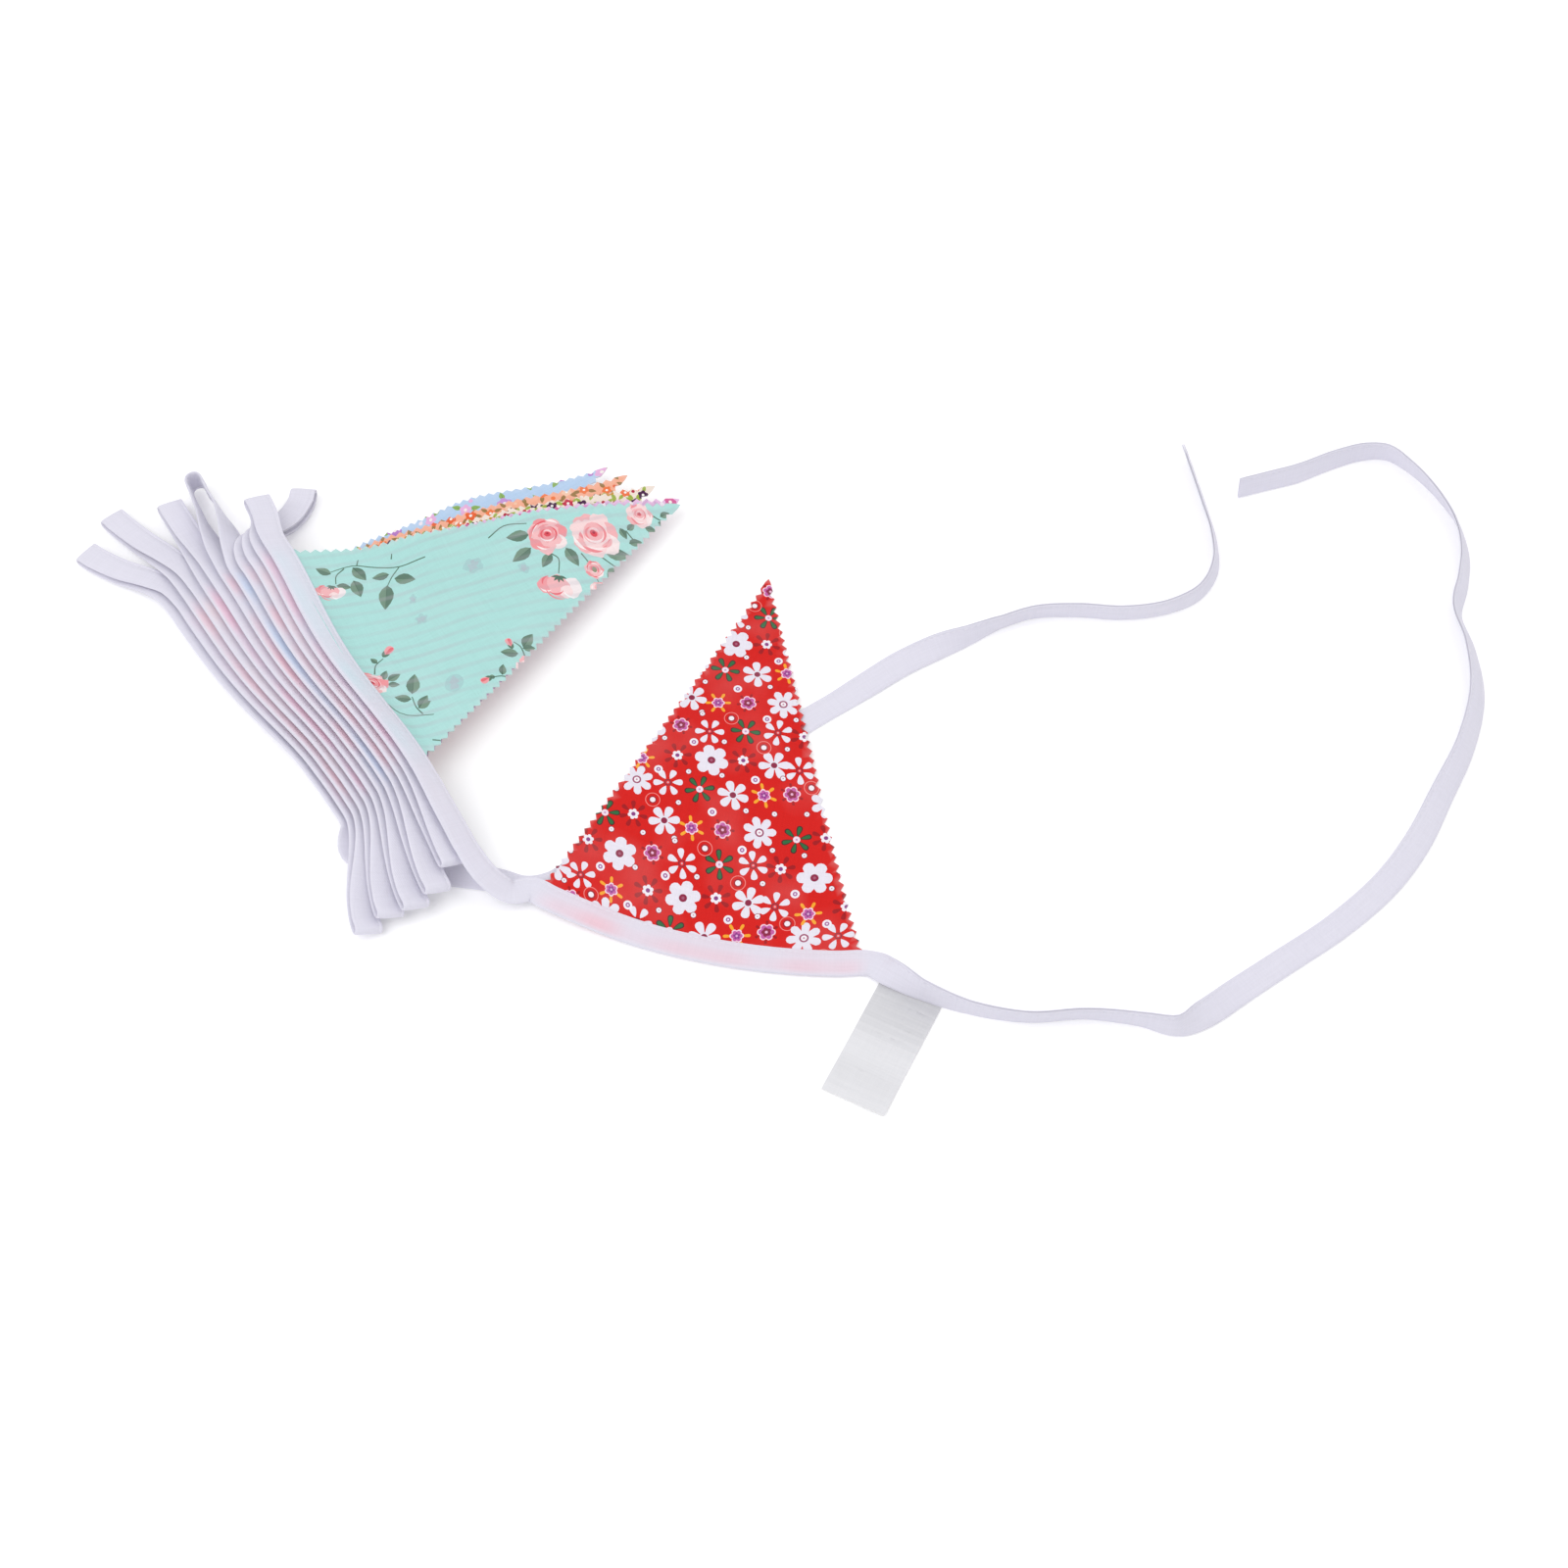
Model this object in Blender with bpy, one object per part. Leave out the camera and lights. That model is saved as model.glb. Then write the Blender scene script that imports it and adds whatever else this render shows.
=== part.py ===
"""Fabric bunting: a folded cotton tape that binds twelve pinked cotton pennants.

Eleven pennants are folded to and fro into a bundle at the left, one lies open in the middle, and the
two ends of the tape trail to the right as tying tails. All working sizes are millimetres and become
metres when a mesh is made. The pieces lie on the plane z = 0.
"""
import math

import bmesh
import bpy
from mathutils import Vector
from mathutils.geometry import delaunay_2d_cdt

MM = 0.001
UP = Vector((0.0, 0.0, 1.0))

# Cloth, as cut
PENNANT_WIDTH = 140.0      # across the cloth where it leaves the tape
PENNANT_LENGTH = 188.0     # from the tape to the point
SEWN_IN = 11.0             # cloth held between the two halves of the tape
CLOTH = 1.0                # thickness of a pennant
TOOTH_PITCH = 9.4          # pinked edge, one tooth drawn for every two cut
TOOTH_DEPTH = 2.2
TAPE_WIDTH = 12.0          # folded
TAPE_PLY = 0.7             # one half of the folded tape
GAP = 0.3                  # air between cloths that touch
TAPE_TO_TAPE = 2.0 * TAPE_PLY + CLOTH + 3.5 * GAP   # between the middles of two tapes that overlap
LABEL_WIDTH = 28.0
LABEL_LENGTH = 62.0

# Bundle, in its own frame: t runs along the tapes to the upper left, s runs toward the points
BUNDLE_MIDDLE = Vector((-192.0, 59.5, 0.0))
BUNDLE_TURN = math.radians(121.5)
ALONG = Vector((math.cos(BUNDLE_TURN), math.sin(BUNDLE_TURN), 0.0))
INWARD = Vector((math.sin(BUNDLE_TURN), -math.cos(BUNDLE_TURN), 0.0))
TOP = 11                   # number of the pennant on top of the bundle
HALF_LIE = 69.0            # half a pennant's width as it lies in the bundle
LAYER = 1.7                # rise from one pennant to the next
WAIST = 33.0               # how far the lowest tape lies outside the top one, where they are closest
TOP_FLARE = 14.0           # how much farther out it is at the upper left end
FOOT_FLARE = 22.0          # and at the tips of the foot loops
FOOT_SINK = 0.35           # share of their rise that the layers lose on the way to the foot
FOOT_HUMP = 1.2            # the foot loops are lifted by this where the tail passes under them
STRIP_END = 76.0           # the tape is straight and open for the cloth as far as this
STRIP_STEPS = tuple(9.5 * step for step in range(-8, 9))
BOW = 4.0                  # the tapes bow outward by this at their middle
BED = 0.5                  # middle of the lowest cloth above the floor
BEND = 8.0                 # length over which a pennant bends down out of its tape
LEAD = 5.0                 # straight length on both sides of a loop's turn
FALL = 46.0                # reach of the slope beside an edge that lies below
RIPPLE = 0.8
RIPPLE_LENGTH = 90.0

# One row for each bundled pennant, lowest first:
# number, print, colour, point along t, point along s, slide along t, swell of its upper side
BUNDLE = (
    (1, "blue", (0.66, 0.77, 0.90), 30.0, 140.0, 2.0, 0.0),
    (2, "peach", (0.93, 0.66, 0.52), 14.0, 144.0, -2.0, 0.0),
    (3, "cream", (0.92, 0.85, 0.74), 27.0, 147.0, 1.0, 0.0),
    (4, "lilac", (0.90, 0.72, 0.85), 9.0, 150.0, 0.0, 0.0),
    (5, "mint", (0.69, 0.87, 0.85), 34.0, 148.0, 2.0, 2.0),
    (6, "red", (0.85, 0.10, 0.08), 19.0, 153.0, -2.0, 0.0),
    (7, "blue", (0.66, 0.77, 0.90), 47.5, 155.0, 1.0, 9.0),
    (8, "peach", (0.93, 0.66, 0.52), 34.0, 159.0, 2.0, 4.0),
    (9, "cream", (0.92, 0.85, 0.74), 20.5, 166.5, 0.0, 4.0),
    (10, "lilac", (0.90, 0.72, 0.85), 9.0, 173.5, 0.0, 4.0),
    (11, "mint", (0.69, 0.87, 0.85), 5.3, 171.7, 0.0, 3.5),
)
DRAW_IN = 4.0              # the upper sides draw in by this near the tape

# One row for each loop at the upper left, by the upper strip's number: upper, tip along t, tip
# along s, tip height, heading off the tapes in degrees (left is plus), lean in degrees (0 lies flat,
# 90 stands on edge), eye (radius of the turn), how far its first side swells out behind the turn
TOP_LOOPS = (
    (11, 107.0, -1.5, 18.0, -4.0, 12.0, 2.2, 0.0),
    (9, 112.0, 23.0, 4.4, -36.0, 0.0, 2.2, 0.0),
    (7, 143.0, -20.0, 7.8, -6.0, 84.0, 3.6, 3.0),
    (5, 137.0, -36.0, 5.2, 0.0, 8.0, 2.0, 0.0),
    (3, 146.0, -62.3, 3.2, 14.0, 4.0, 1.8, 0.0),
    (1, 131.5, -81.2, 3.1, 22.5, 0.0, 1.8, 0.0),
)

# The loops at the foot, by the upper strip's number: upper, tip along t
FOOT_LOOPS = ((10, -121.0), (8, -128.0), (6, -129.0), (4, -126.0), (2, -127.0))

# The laid out pennant: the two corners where its cloth leaves the tape, and its point
RED_LEFT = Vector((-103.0, -53.0, 0.0))
RED_RIGHT = Vector((33.0, -86.0, 0.0))
RED_POINT = Vector((-7.0, 117.0, 0.0))
RED_SAG = 9.0              # the sewn edge sags by this at its middle

# Tail beyond the label, from the laid out pennant to its free end: x, y, lift off the plane below,
# lean in degrees (0 lies flat, 90 stands on edge)
TAIL_A = (
    (45.0, -99.0, 1.5, 40.0),
    (57.0, -107.5, 1.5, 75.0),
    (76.0, -115.5, 1.2, 92.0),
    (100.0, -119.5, 0.3, 98.0),
    (124.0, -118.0, 0.3, 98.0),
    (146.0, -120.5, 0.3, 92.0),
    (161.0, -123.5, 0.3, 74.0),
    (173.0, -117.0, 0.4, 34.0),
    (188.0, -105.5, 0.4, 6.0),
    (208.0, -91.5, 0.2, 0.0),
    (234.0, -73.5, 0.2, 0.0),
    (257.0, -53.5, 0.4, 8.0),
    (274.0, -32.5, 0.4, 18.0),
    (289.0, -7.0, 0.4, 32.0),
    (303.0, 18.0, 0.4, 42.0),
    (313.0, 47.0, 0.4, 47.0),
    (314.0, 73.0, 0.4, 56.0),
    (311.5, 93.0, 0.1, 60.0),
    (317.0, 110.0, 0.4, 58.0),
    (321.0, 128.0, 0.1, 60.0),
    (320.0, 146.0, 0.3, 64.0),
    (313.0, 165.0, 0.3, 70.0),
    (303.0, 181.0, 0.3, 76.0),
    (293.5, 190.0, 0.3, 84.0),
    (282.0, 190.5, 0.3, 92.0),
    (266.0, 185.0, 0.3, 98.0),
    (248.0, 176.5, 0.3, 100.0),
    (234.0, 172.0, 0.3, 98.0),
)

# Tail from the lowest pennant, under the laid out pennant and away, with the same columns
TAIL_B = (
    (-186.0, -36.5, 0.3, -8.0),
    (-172.5, -43.0, 0.1, 0.0),
    (-157.0, -46.5, 0.1, 0.0),
    (-140.0, -48.0, 0.1, 0.0),
    (-124.0, -50.5, 0.1, 0.0),
    (-111.0, -54.5, 0.1, 0.0),
    (-99.0, -52.0, 0.1, 0.0),
    (-84.0, -40.0, 0.1, 0.0),
    (-52.0, -13.5, 0.1, 0.0),
    (-20.0, 10.7, 0.1, 0.0),
    (10.0, 33.5, 0.1, 0.0),
    (24.0, 43.5, 0.1, 0.0),
    (38.0, 53.0, 0.4, 12.0),
    (54.0, 64.0, 0.4, 26.0),
    (70.0, 72.0, 0.4, 46.0),
    (84.0, 77.5, 0.3, 76.0),
    (100.0, 85.5, 0.3, 98.0),
    (116.0, 91.5, 0.3, 100.0),
    (136.0, 92.5, 0.3, 98.0),
    (156.0, 91.0, 0.3, 98.0),
    (176.0, 94.0, 0.3, 96.0),
    (193.0, 103.0, 0.3, 86.0),
    (202.0, 118.0, 0.3, 74.0),
    (203.5, 136.0, 0.3, 70.0),
    (201.0, 156.0, 0.3, 68.0),
    (198.0, 175.0, 0.3, 68.0),
)
TIE_FLAT = 12.0            # flat end of each tail

# From the laid out pennant up to the foot of the bundle: s, t, middle height, lean
EXIT = (
    (2.5, -141.0, 6.2, 4.0),
    (-3.5, -132.0, 12.0, 14.0),
)

UNDER_RED = (Vector((-106.0, -53.0)), Vector((20.0, 41.0)))   # where it passes under the cloth
RIDGE = 12.0               # half the flat top of the ridge it makes in the cloth
RIDGE_FALL = 34.0          # and the slope beside it

# The label, sewn under the tape: the middle of its top edge and the way it hangs
LABEL_TOP = Vector((55.5, -100.0, 0.0))
LABEL_HANG = Vector((-0.45, -0.893, 0.0))


def smooth(x):
    """Ease from 0 to 1."""
    x = min(1.0, max(0.0, x))
    return x * x * (3.0 - 2.0 * x)


def mix(a, b, x):
    return a + (b - a) * x


def bundle_point(s, t, z):
    return BUNDLE_MIDDLE + INWARD * s + ALONG * t + UP * z


def spread(t):
    """Distance from the top tape out to the lowest one."""
    top = TOP_FLARE * smooth((t + 40.0) / 120.0)
    foot = FOOT_FLARE * smooth((-t - HALF_LIE - 5.0) / 54.0)
    return WAIST + top + foot


def layer_at(t):
    """Rise from one tape to the next."""
    return LAYER * (1.0 - FOOT_SINK * smooth((-t - STRIP_END) / 50.0))


def edge_s(number, t):
    """Inner edge of a tape in the bundle."""
    bow = BOW * (1.0 - min(1.0, abs(t) / HALF_LIE) ** 2) ** 2
    return -spread(t) * (TOP - number) / (TOP - 1) - bow


def lean_of_tapes(t):
    """Tilt at which the overlapping tapes just clear each other."""
    step = spread(t) / (TOP - 1)
    rise = layer_at(t)
    return math.asin(TAPE_TO_TAPE / math.hypot(step, rise)) - math.atan2(rise, step)


def normal_of_tapes(t):
    lean = lean_of_tapes(t)
    return INWARD * math.sin(lean) + UP * math.cos(lean)


def level(number):
    return BED + LAYER * (number - 1)


def tape_place(number, t, across):
    """A point of a bundled tape's middle plane, across from its inner edge (0) outward (plus)."""
    lean = lean_of_tapes(t)
    s = edge_s(number, t) - across * math.cos(lean)
    hump = FOOT_HUMP * (smooth((-t - 74.0) / 10.0) - smooth((-t - 104.0) / 16.0))
    z = level(1) + layer_at(t) * (number - 1) + 0.5 * BEND * math.tan(lean) + across * math.sin(lean)
    return bundle_point(s, t, z + hump)


def beside(number, s, t):
    """Distance of a place outside the sides of a bundled pennant; minus is inside."""
    row = BUNDLE[number - 1]
    point = (row[4], row[3])
    far = -1000.0
    for side in (-1.0, 1.0):
        t_corner = row[5] + side * HALF_LIE
        corner = (edge_s(number, t_corner), t_corner)
        run = (point[0] - corner[0], point[1] - corner[1])
        off = (s - corner[0], t - corner[1])
        far = max(far, side * (run[0] * off[1] - run[1] * off[0]) / math.hypot(*run))
    return far


def cloth_height(number, s, t):
    """Height of a bundled pennant's middle: it lies on the cloths below and falls where they end."""
    missing = 0.0
    for lower in range(1, number):
        missing += smooth((beside(lower, s, t) - 2.0) / FALL)
    fall = smooth(s / 70.0) * LAYER * missing
    wave = math.sin((0.92 * t + 0.4 * s) * 2.0 * math.pi / RIPPLE_LENGTH + 0.9)
    swell = math.cos((0.25 * t - s) * 2.0 * math.pi / (1.9 * RIPPLE_LENGTH))
    ripple = RIPPLE * (1.4 + 0.9 * wave + 0.5 * swell) * (number - 1) / (TOP - 1)
    return level(number) - fall + ripple * smooth((s - 6.0) / 46.0)


def side_swell(number, u, q):
    """How far the upper side of a bundled pennant lies off a straight line, at a share q of its length."""
    swell = BUNDLE[number - 1][6] * math.exp(-((q - 0.62) / 0.17) ** 2)
    drawn = DRAW_IN * math.sin(math.pi * min(1.0, q / 0.34)) ** 2
    upper = smooth(0.5 + 0.5 * u / (0.5 * PENNANT_WIDTH * max(0.05, 1.0 - q)))
    return (swell - drawn) * upper * smooth((1.0 - q) / 0.15)


def bundled_cloth(number, u, v):
    """Middle of a bundled pennant at u along the tape and v away from it."""
    row = BUNDLE[number - 1]
    t_base = row[5] + u * HALF_LIE / (0.5 * PENNANT_WIDTH)
    if v <= 0.0:
        return tape_place(number, t_base, -v)
    q = v / PENNANT_LENGTH
    t = t_base + q * (row[3] - row[5]) + side_swell(number, u, q)
    s = edge_s(number, t_base) + q * (row[4] - edge_s(number, row[5]))
    rise = 0.0
    if v < BEND:
        slope = math.tan(lean_of_tapes(t_base))
        rise = slope * (0.5 * BEND - v * (1.0 - 0.5 * v / BEND))
    return bundle_point(s, t, cloth_height(number, s, t) + rise)


def tail_rise(x, y):
    """Height that the tail gives to the laid out pennant where it passes under."""
    start, end = UNDER_RED
    way = end - start
    off = Vector((x, y)) - start
    share = min(1.0, max(0.0, off.dot(way) / way.length_squared))
    distance = (off - way * share).length
    return (2.0 * TAPE_PLY + 2.6 * GAP) * (1.0 - smooth((distance - RIDGE) / RIDGE_FALL))


def laid_cloth(u, v):
    """Middle of the laid out pennant."""
    base = RED_LEFT.lerp(RED_RIGHT, 0.5 + u / PENNANT_WIDTH)
    middle = RED_LEFT.lerp(RED_RIGHT, 0.5)
    down = Vector((-0.236, -0.972, 0.0))
    q = v / PENNANT_LENGTH
    place = base + (RED_POINT - middle) * q
    sag = RED_SAG * (1.0 - (u / (0.5 * PENNANT_WIDTH)) ** 2) * max(0.0, 1.0 - max(0.0, q)) ** 3
    place = place + down * sag
    in_tape = 0.5 * CLOTH + GAP + TAPE_PLY
    bed = mix(in_tape, 0.5 * CLOTH, smooth(v / 18.0))
    seam = base + down * RED_SAG * (1.0 - (u / (0.5 * PENNANT_WIDTH)) ** 2)
    spot = place if v > 0.0 else seam
    return place + UP * (bed + tail_rise(spot.x, spot.y))


def laid_tape_place(u):
    """Middle of the tape along the laid out pennant."""
    return laid_cloth(u, -0.5 * TAPE_WIDTH)


def pennant_outline():
    """The cut shape, with pinked teeth down both long sides, as (u, v) pairs."""
    half = 0.5 * PENNANT_WIDTH
    flare = half * SEWN_IN / PENNANT_LENGTH
    side = math.hypot(half, PENNANT_LENGTH)
    count = int(side / TOOTH_PITCH)
    right = [(half + flare, -SEWN_IN), (half, 0.0)]
    for tooth in range(count):
        for part, depth in ((0.25, 0.0), (0.75, TOOTH_DEPTH)):
            q = (tooth + part) / count
            u = half * (1.0 - q) - depth * PENNANT_LENGTH / side
            v = PENNANT_LENGTH * q - depth * half / side
            if u > 0.6:
                right.append((u, v))
    left = [(-u, v) for u, v in reversed(right)]
    return right + [(0.0, PENNANT_LENGTH)] + left


def flat_place(spot):
    """The (u, v) of the laid out pennant that comes to lie at a spot of the floor."""
    side = (RED_RIGHT - RED_LEFT).xy / PENNANT_WIDTH
    length = (RED_POINT - RED_LEFT.lerp(RED_RIGHT, 0.5)).xy / PENNANT_LENGTH
    both = side.x * length.y - side.y * length.x
    u = 0.0
    v = 0.5 * PENNANT_LENGTH
    for _ in range(6):
        off = spot - laid_cloth(u, v).xy
        u += (off.x * length.y - off.y * length.x) / both
        v += (side.x * off.y - side.y * off.x) / both
    return u, v


def ridge_points():
    """Places in the laid out pennant along both foots of the ridge and both edges of its top."""
    start, end = UNDER_RED
    way = (end - start).normalized()
    across = Vector((-way.y, way.x))
    points = []
    for offset in (-RIDGE - RIDGE_FALL, -RIDGE, RIDGE, RIDGE + RIDGE_FALL):
        for step in range(14):
            u, v = flat_place(start + way * (step * 13.0) + across * offset)
            if v > 12.0 and abs(u) < 0.5 * PENNANT_WIDTH * (1.0 - v / PENNANT_LENGTH) - 6.0:
                points.append((u, v))
    return points


def inner_points(spacing):
    """Even points inside the pennant, so that the sheet can bend."""
    half = 0.5 * PENNANT_WIDTH
    points = []
    rows = [-SEWN_IN, 0.0, 0.5 * BEND, BEND]
    v = BEND + 0.8 * spacing
    while v < PENNANT_LENGTH - spacing:
        rows.append(v)
        v += 0.86 * spacing
    for index, v in enumerate(rows):
        reach = half * (1.0 - v / PENNANT_LENGTH) - 0.42 * spacing
        count = max(1, round(2.0 * reach / spacing))
        shift = 0.0 if index < 4 else 0.5 * (index % 2)
        for step in range(count + 1):
            u = -reach + 2.0 * reach * (step + shift) / count
            if u <= reach + 0.01:
                points.append((u, v))
    return points


def sheet_faces(spacing, more=()):
    """Flat points and triangles of a pennant."""
    outline = pennant_outline()
    points = list(outline)
    for u, v in inner_points(spacing):
        if all(math.hypot(u - a, v - b) > 0.45 * spacing for a, b in more):
            points.append((u, v))
    points.extend(more)
    ring = [list(range(len(outline)))]
    flat = [Vector(point) for point in points]
    verts, _, faces, _, _, _ = delaunay_2d_cdt(flat, [], ring, 1, 1.0e-4)
    return [(vert.x, vert.y) for vert in verts], faces


def normal_at(place, u, v):
    """Upward normal of a cloth given by its place function."""
    step = 0.8
    along = place(u + step, v) - place(u - step, v)
    away = place(u, v + step) - place(u, v - step)
    normal = along.cross(away).normalized()
    return normal if normal.z > 0.0 else -normal


def sheet_mesh(name, flat, faces, place):
    """A closed sheet of even thickness about the middle surface place(u, v)."""
    mesh = bpy.data.meshes.new(name)
    bm = bmesh.new()
    upper = []
    lower = []
    for u, v in flat:
        middle = place(u, v)
        half = normal_at(place, u, v) * (0.5 * CLOTH)
        upper.append(bm.verts.new(middle + half))
        lower.append(bm.verts.new(middle - half))
    edges = {}
    for face in faces:
        ring = list(face)
        a, b, c = (upper[i].co for i in ring[:3])
        if (b - a).cross(c - a).z < 0.0:
            ring.reverse()
        bm.faces.new([upper[i] for i in ring])
        bm.faces.new([lower[i] for i in reversed(ring)])
        for i, j in zip(ring, ring[1:] + ring[:1]):
            edges[(i, j)] = True
    for i, j in edges:
        if (j, i) not in edges:
            bm.faces.new([upper[j], upper[i], lower[i], lower[j]])
    return finish_mesh(bm, mesh)


def finish_mesh(bm, mesh):
    bmesh.ops.scale(bm, vec=(MM, MM, MM), verts=bm.verts)
    bmesh.ops.triangulate(bm, faces=bm.faces)
    bmesh.ops.recalc_face_normals(bm, faces=bm.faces)
    bm.to_mesh(mesh)
    bm.free()
    return mesh


def cloth_material(name, colour, roughness):
    material = bpy.data.materials.new(name)
    material.use_nodes = True
    shader = material.node_tree.nodes["Principled BSDF"]
    shader.inputs["Base Color"].default_value = (*colour, 1.0)
    shader.inputs["Roughness"].default_value = roughness
    shader.inputs["Metallic"].default_value = 0.0
    return material


def add_piece(name, mesh, colour):
    piece = bpy.data.objects.new(name, mesh)
    bpy.context.scene.collection.objects.link(piece)
    mesh.materials.append(cloth_material(name + "_cotton", colour, 0.9))
    mesh.shade_smooth()
    mesh.set_sharp_from_angle(angle=math.radians(40.0))
    return piece


def key(place, normal, open_slot=False):
    return {"place": place, "normal": normal, "open": open_slot}


def strip_keys(number):
    """The tape along one bundled pennant; odd ones run to the upper left, even ones back."""
    sign = 1.0 if number % 2 else -1.0
    keys = []
    for t in STRIP_STEPS:
        keys.append(key(tape_place(number, t, 0.5 * TAPE_WIDTH), normal_of_tapes(t) * sign, True))
    return keys if sign > 0.0 else keys[::-1]


def turn_keys(tip, heading, normal, eye, sign):
    """A half turn with its straight leads, from the side of the normal round to the other."""
    centre = tip - heading * eye
    keys = [key(centre + normal * eye - heading * LEAD, normal * sign)]
    for degrees in (90.0, 45.0, 0.0, -45.0, -90.0):
        turn = math.radians(degrees)
        outward = heading * math.cos(turn) + normal * math.sin(turn)
        keys.append(key(centre + outward * eye, outward * sign))
    keys.append(key(centre - normal * eye - heading * LEAD, -normal * sign))
    return keys


def foot_middle(number, t):
    """Halfway between a strip and the one below it."""
    upper = tape_place(number, t, 0.5 * TAPE_WIDTH)
    return upper.lerp(tape_place(number - 1, t, 0.5 * TAPE_WIDTH), 0.5)


def foot_loop_keys(number, t_tip):
    """From an even strip's foot round to the strip below; both sides keep their own layer."""
    heading = (foot_middle(number, t_tip) - foot_middle(number, t_tip + 8.0)).normalized()
    normal = normal_of_tapes(t_tip)
    normal = (normal - heading * normal.dot(heading)).normalized()
    eye = 0.5 * TAPE_TO_TAPE
    turn = turn_keys(foot_middle(number, t_tip), heading, normal, eye, -1.0)
    ways = []
    for side, strip in ((1.0, number), (-1.0, number - 1)):
        way = []
        for share in (0.2, 0.4, 0.6, 0.8):
            t = mix(-STRIP_END, t_tip + eye + LEAD, share)
            own = tape_place(strip, t, 0.5 * TAPE_WIDTH)
            joined = foot_middle(number, t) + normal_of_tapes(t) * (side * eye)
            way.append(key(own.lerp(joined, smooth(share)), normal_of_tapes(t) * -side))
        ways.append(way)
    return ways[0] + turn + ways[1][::-1]


def top_loop_keys(row, before, after):
    """From a strip's upper left end round to the next: before and after are the keys it joins."""
    _, t, s, z, off, lean, eye, swell = row
    off = math.radians(off)
    lean = math.radians(lean)
    heading = ALONG * math.cos(off) - INWARD * math.sin(off)
    side = (INWARD - heading * INWARD.dot(heading)).normalized()
    normal = side * math.sin(lean) + UP * math.cos(lean)
    turn = turn_keys(bundle_point(s, t, z), heading, normal, eye, 1.0)
    onward = way_between(before, turn[0], heading, swell)
    back = way_between(after, turn[-1], heading, 0.0)
    return onward + turn + back[::-1]


def way_between(root, tip, heading, swell):
    """Keys on the way from a root out to the start of a loop's turn, swelling outward in between."""
    start = root["place"]
    end = tip["place"]
    reach = (end - start).length
    keys = []
    for share in (0.25, 0.5, 0.75):
        near = start + ALONG * (reach * 0.4)
        far = end - heading * (reach * 0.4)
        inverse = 1.0 - share
        place = (start * inverse ** 3 + near * (3.0 * inverse ** 2 * share)
                 + far * (3.0 * inverse * share ** 2) + end * share ** 3)
        normal = root["normal"].lerp(tip["normal"], smooth(share)).normalized()
        keys.append(key(place + tip["normal"] * (swell * math.sin(math.pi * share)), normal))
    return keys


def return_keys():
    """The tail on its way back: it lies against the lowest tape like one more of them, but closed."""
    closer = normal_of_tapes(0.0) * (0.5 * CLOTH)
    keys = []
    for t in STRIP_STEPS[::-1]:
        keys.append(key(tape_place(0, t, 0.5 * TAPE_WIDTH) + closer, -normal_of_tapes(t)))
    return keys


def standing(lean):
    """Height of the tape's middle when its lowest corner touches the plane below."""
    lean = math.radians(lean)
    return 0.5 * TAPE_WIDTH * abs(math.sin(lean)) + (TAPE_PLY + 0.5 * GAP) * abs(math.cos(lean))


def tail_keys(rows, sign=1.0):
    """Keys of a tail from its table: the lean turns the tape about its own run."""
    places = [Vector((row[0], row[1], row[2] + standing(row[3]))) for row in rows]
    keys = []
    for index, row in enumerate(rows):
        ahead = places[min(index + 1, len(rows) - 1)]
        behind = places[max(index - 1, 0)]
        run = (ahead - behind).normalized()
        side = run.cross(UP).normalized()
        lean = math.radians(row[3])
        keys.append(key(places[index], (UP * math.cos(lean) + side * math.sin(lean)) * sign))
    run = (places[-1] - places[-2]).normalized()
    for beyond in (4.0, 4.0 + TIE_FLAT):
        keys.append(key(places[-1] + run * beyond, keys[-1]["normal"]))
    return keys


def laid_tape_keys():
    """The tape along the laid out pennant, from its right end to its left."""
    keys = []
    for share in (1.06, 0.85, 0.57, 0.28, 0.0, -0.28, -0.5, -0.65, -0.8, -0.93, -1.06):
        keys.append(key(laid_tape_place(share * 0.5 * PENNANT_WIDTH), UP.copy(), True))
    return keys


def route_keys():
    """The whole tape from the free end of one tail to the free end of the other."""
    keys = tail_keys(TAIL_A)[::-1]
    keys.extend(laid_tape_keys())
    for s, t, z, lean in EXIT:
        lean = math.radians(lean)
        keys.append(key(bundle_point(s, t, z), INWARD * math.sin(lean) + UP * math.cos(lean)))
    for t in (-118.0, -111.0, -104.0, -97.0, -90.0, -83.0):
        keys.append(key(tape_place(TOP, t, 0.5 * TAPE_WIDTH), normal_of_tapes(t)))
    strips = {number: strip_keys(number) for number in range(1, TOP + 1)}
    tail = return_keys() + tail_keys(TAIL_B, -1.0)
    tops = {row[0]: row for row in TOP_LOOPS}
    feet = dict(FOOT_LOOPS)
    for number in range(TOP, 0, -1):
        keys.extend(strips[number])
        if number in feet:
            keys.extend(foot_loop_keys(number, feet[number]))
        else:
            after = strips[number - 1][0] if number > 1 else tail[0]
            keys.extend(top_loop_keys(tops[number], strips[number][-1], after))
    keys.extend(tail)
    return keys


def curve_point(a, b, c, d, x):
    """Catmull-Rom blend between b and c, with knots spaced by the square root of the distance."""
    k0 = 0.0
    k1 = k0 + max(1e-3, math.sqrt((b - a).length))
    k2 = k1 + max(1e-3, math.sqrt((c - b).length))
    k3 = k2 + max(1e-3, math.sqrt((d - c).length))
    k = mix(k1, k2, x)
    p = a * ((k1 - k) / (k1 - k0)) + b * ((k - k0) / (k1 - k0))
    q = b * ((k2 - k) / (k2 - k1)) + c * ((k - k1) / (k2 - k1))
    r = c * ((k3 - k) / (k3 - k2)) + d * ((k - k2) / (k3 - k2))
    m = p * ((k2 - k) / (k2 - k0)) + q * ((k - k0) / (k2 - k0))
    n = q * ((k3 - k) / (k3 - k1)) + r * ((k - k1) / (k3 - k1))
    return m * ((k2 - k) / (k2 - k1)) + n * ((k - k1) / (k2 - k1))


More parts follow.
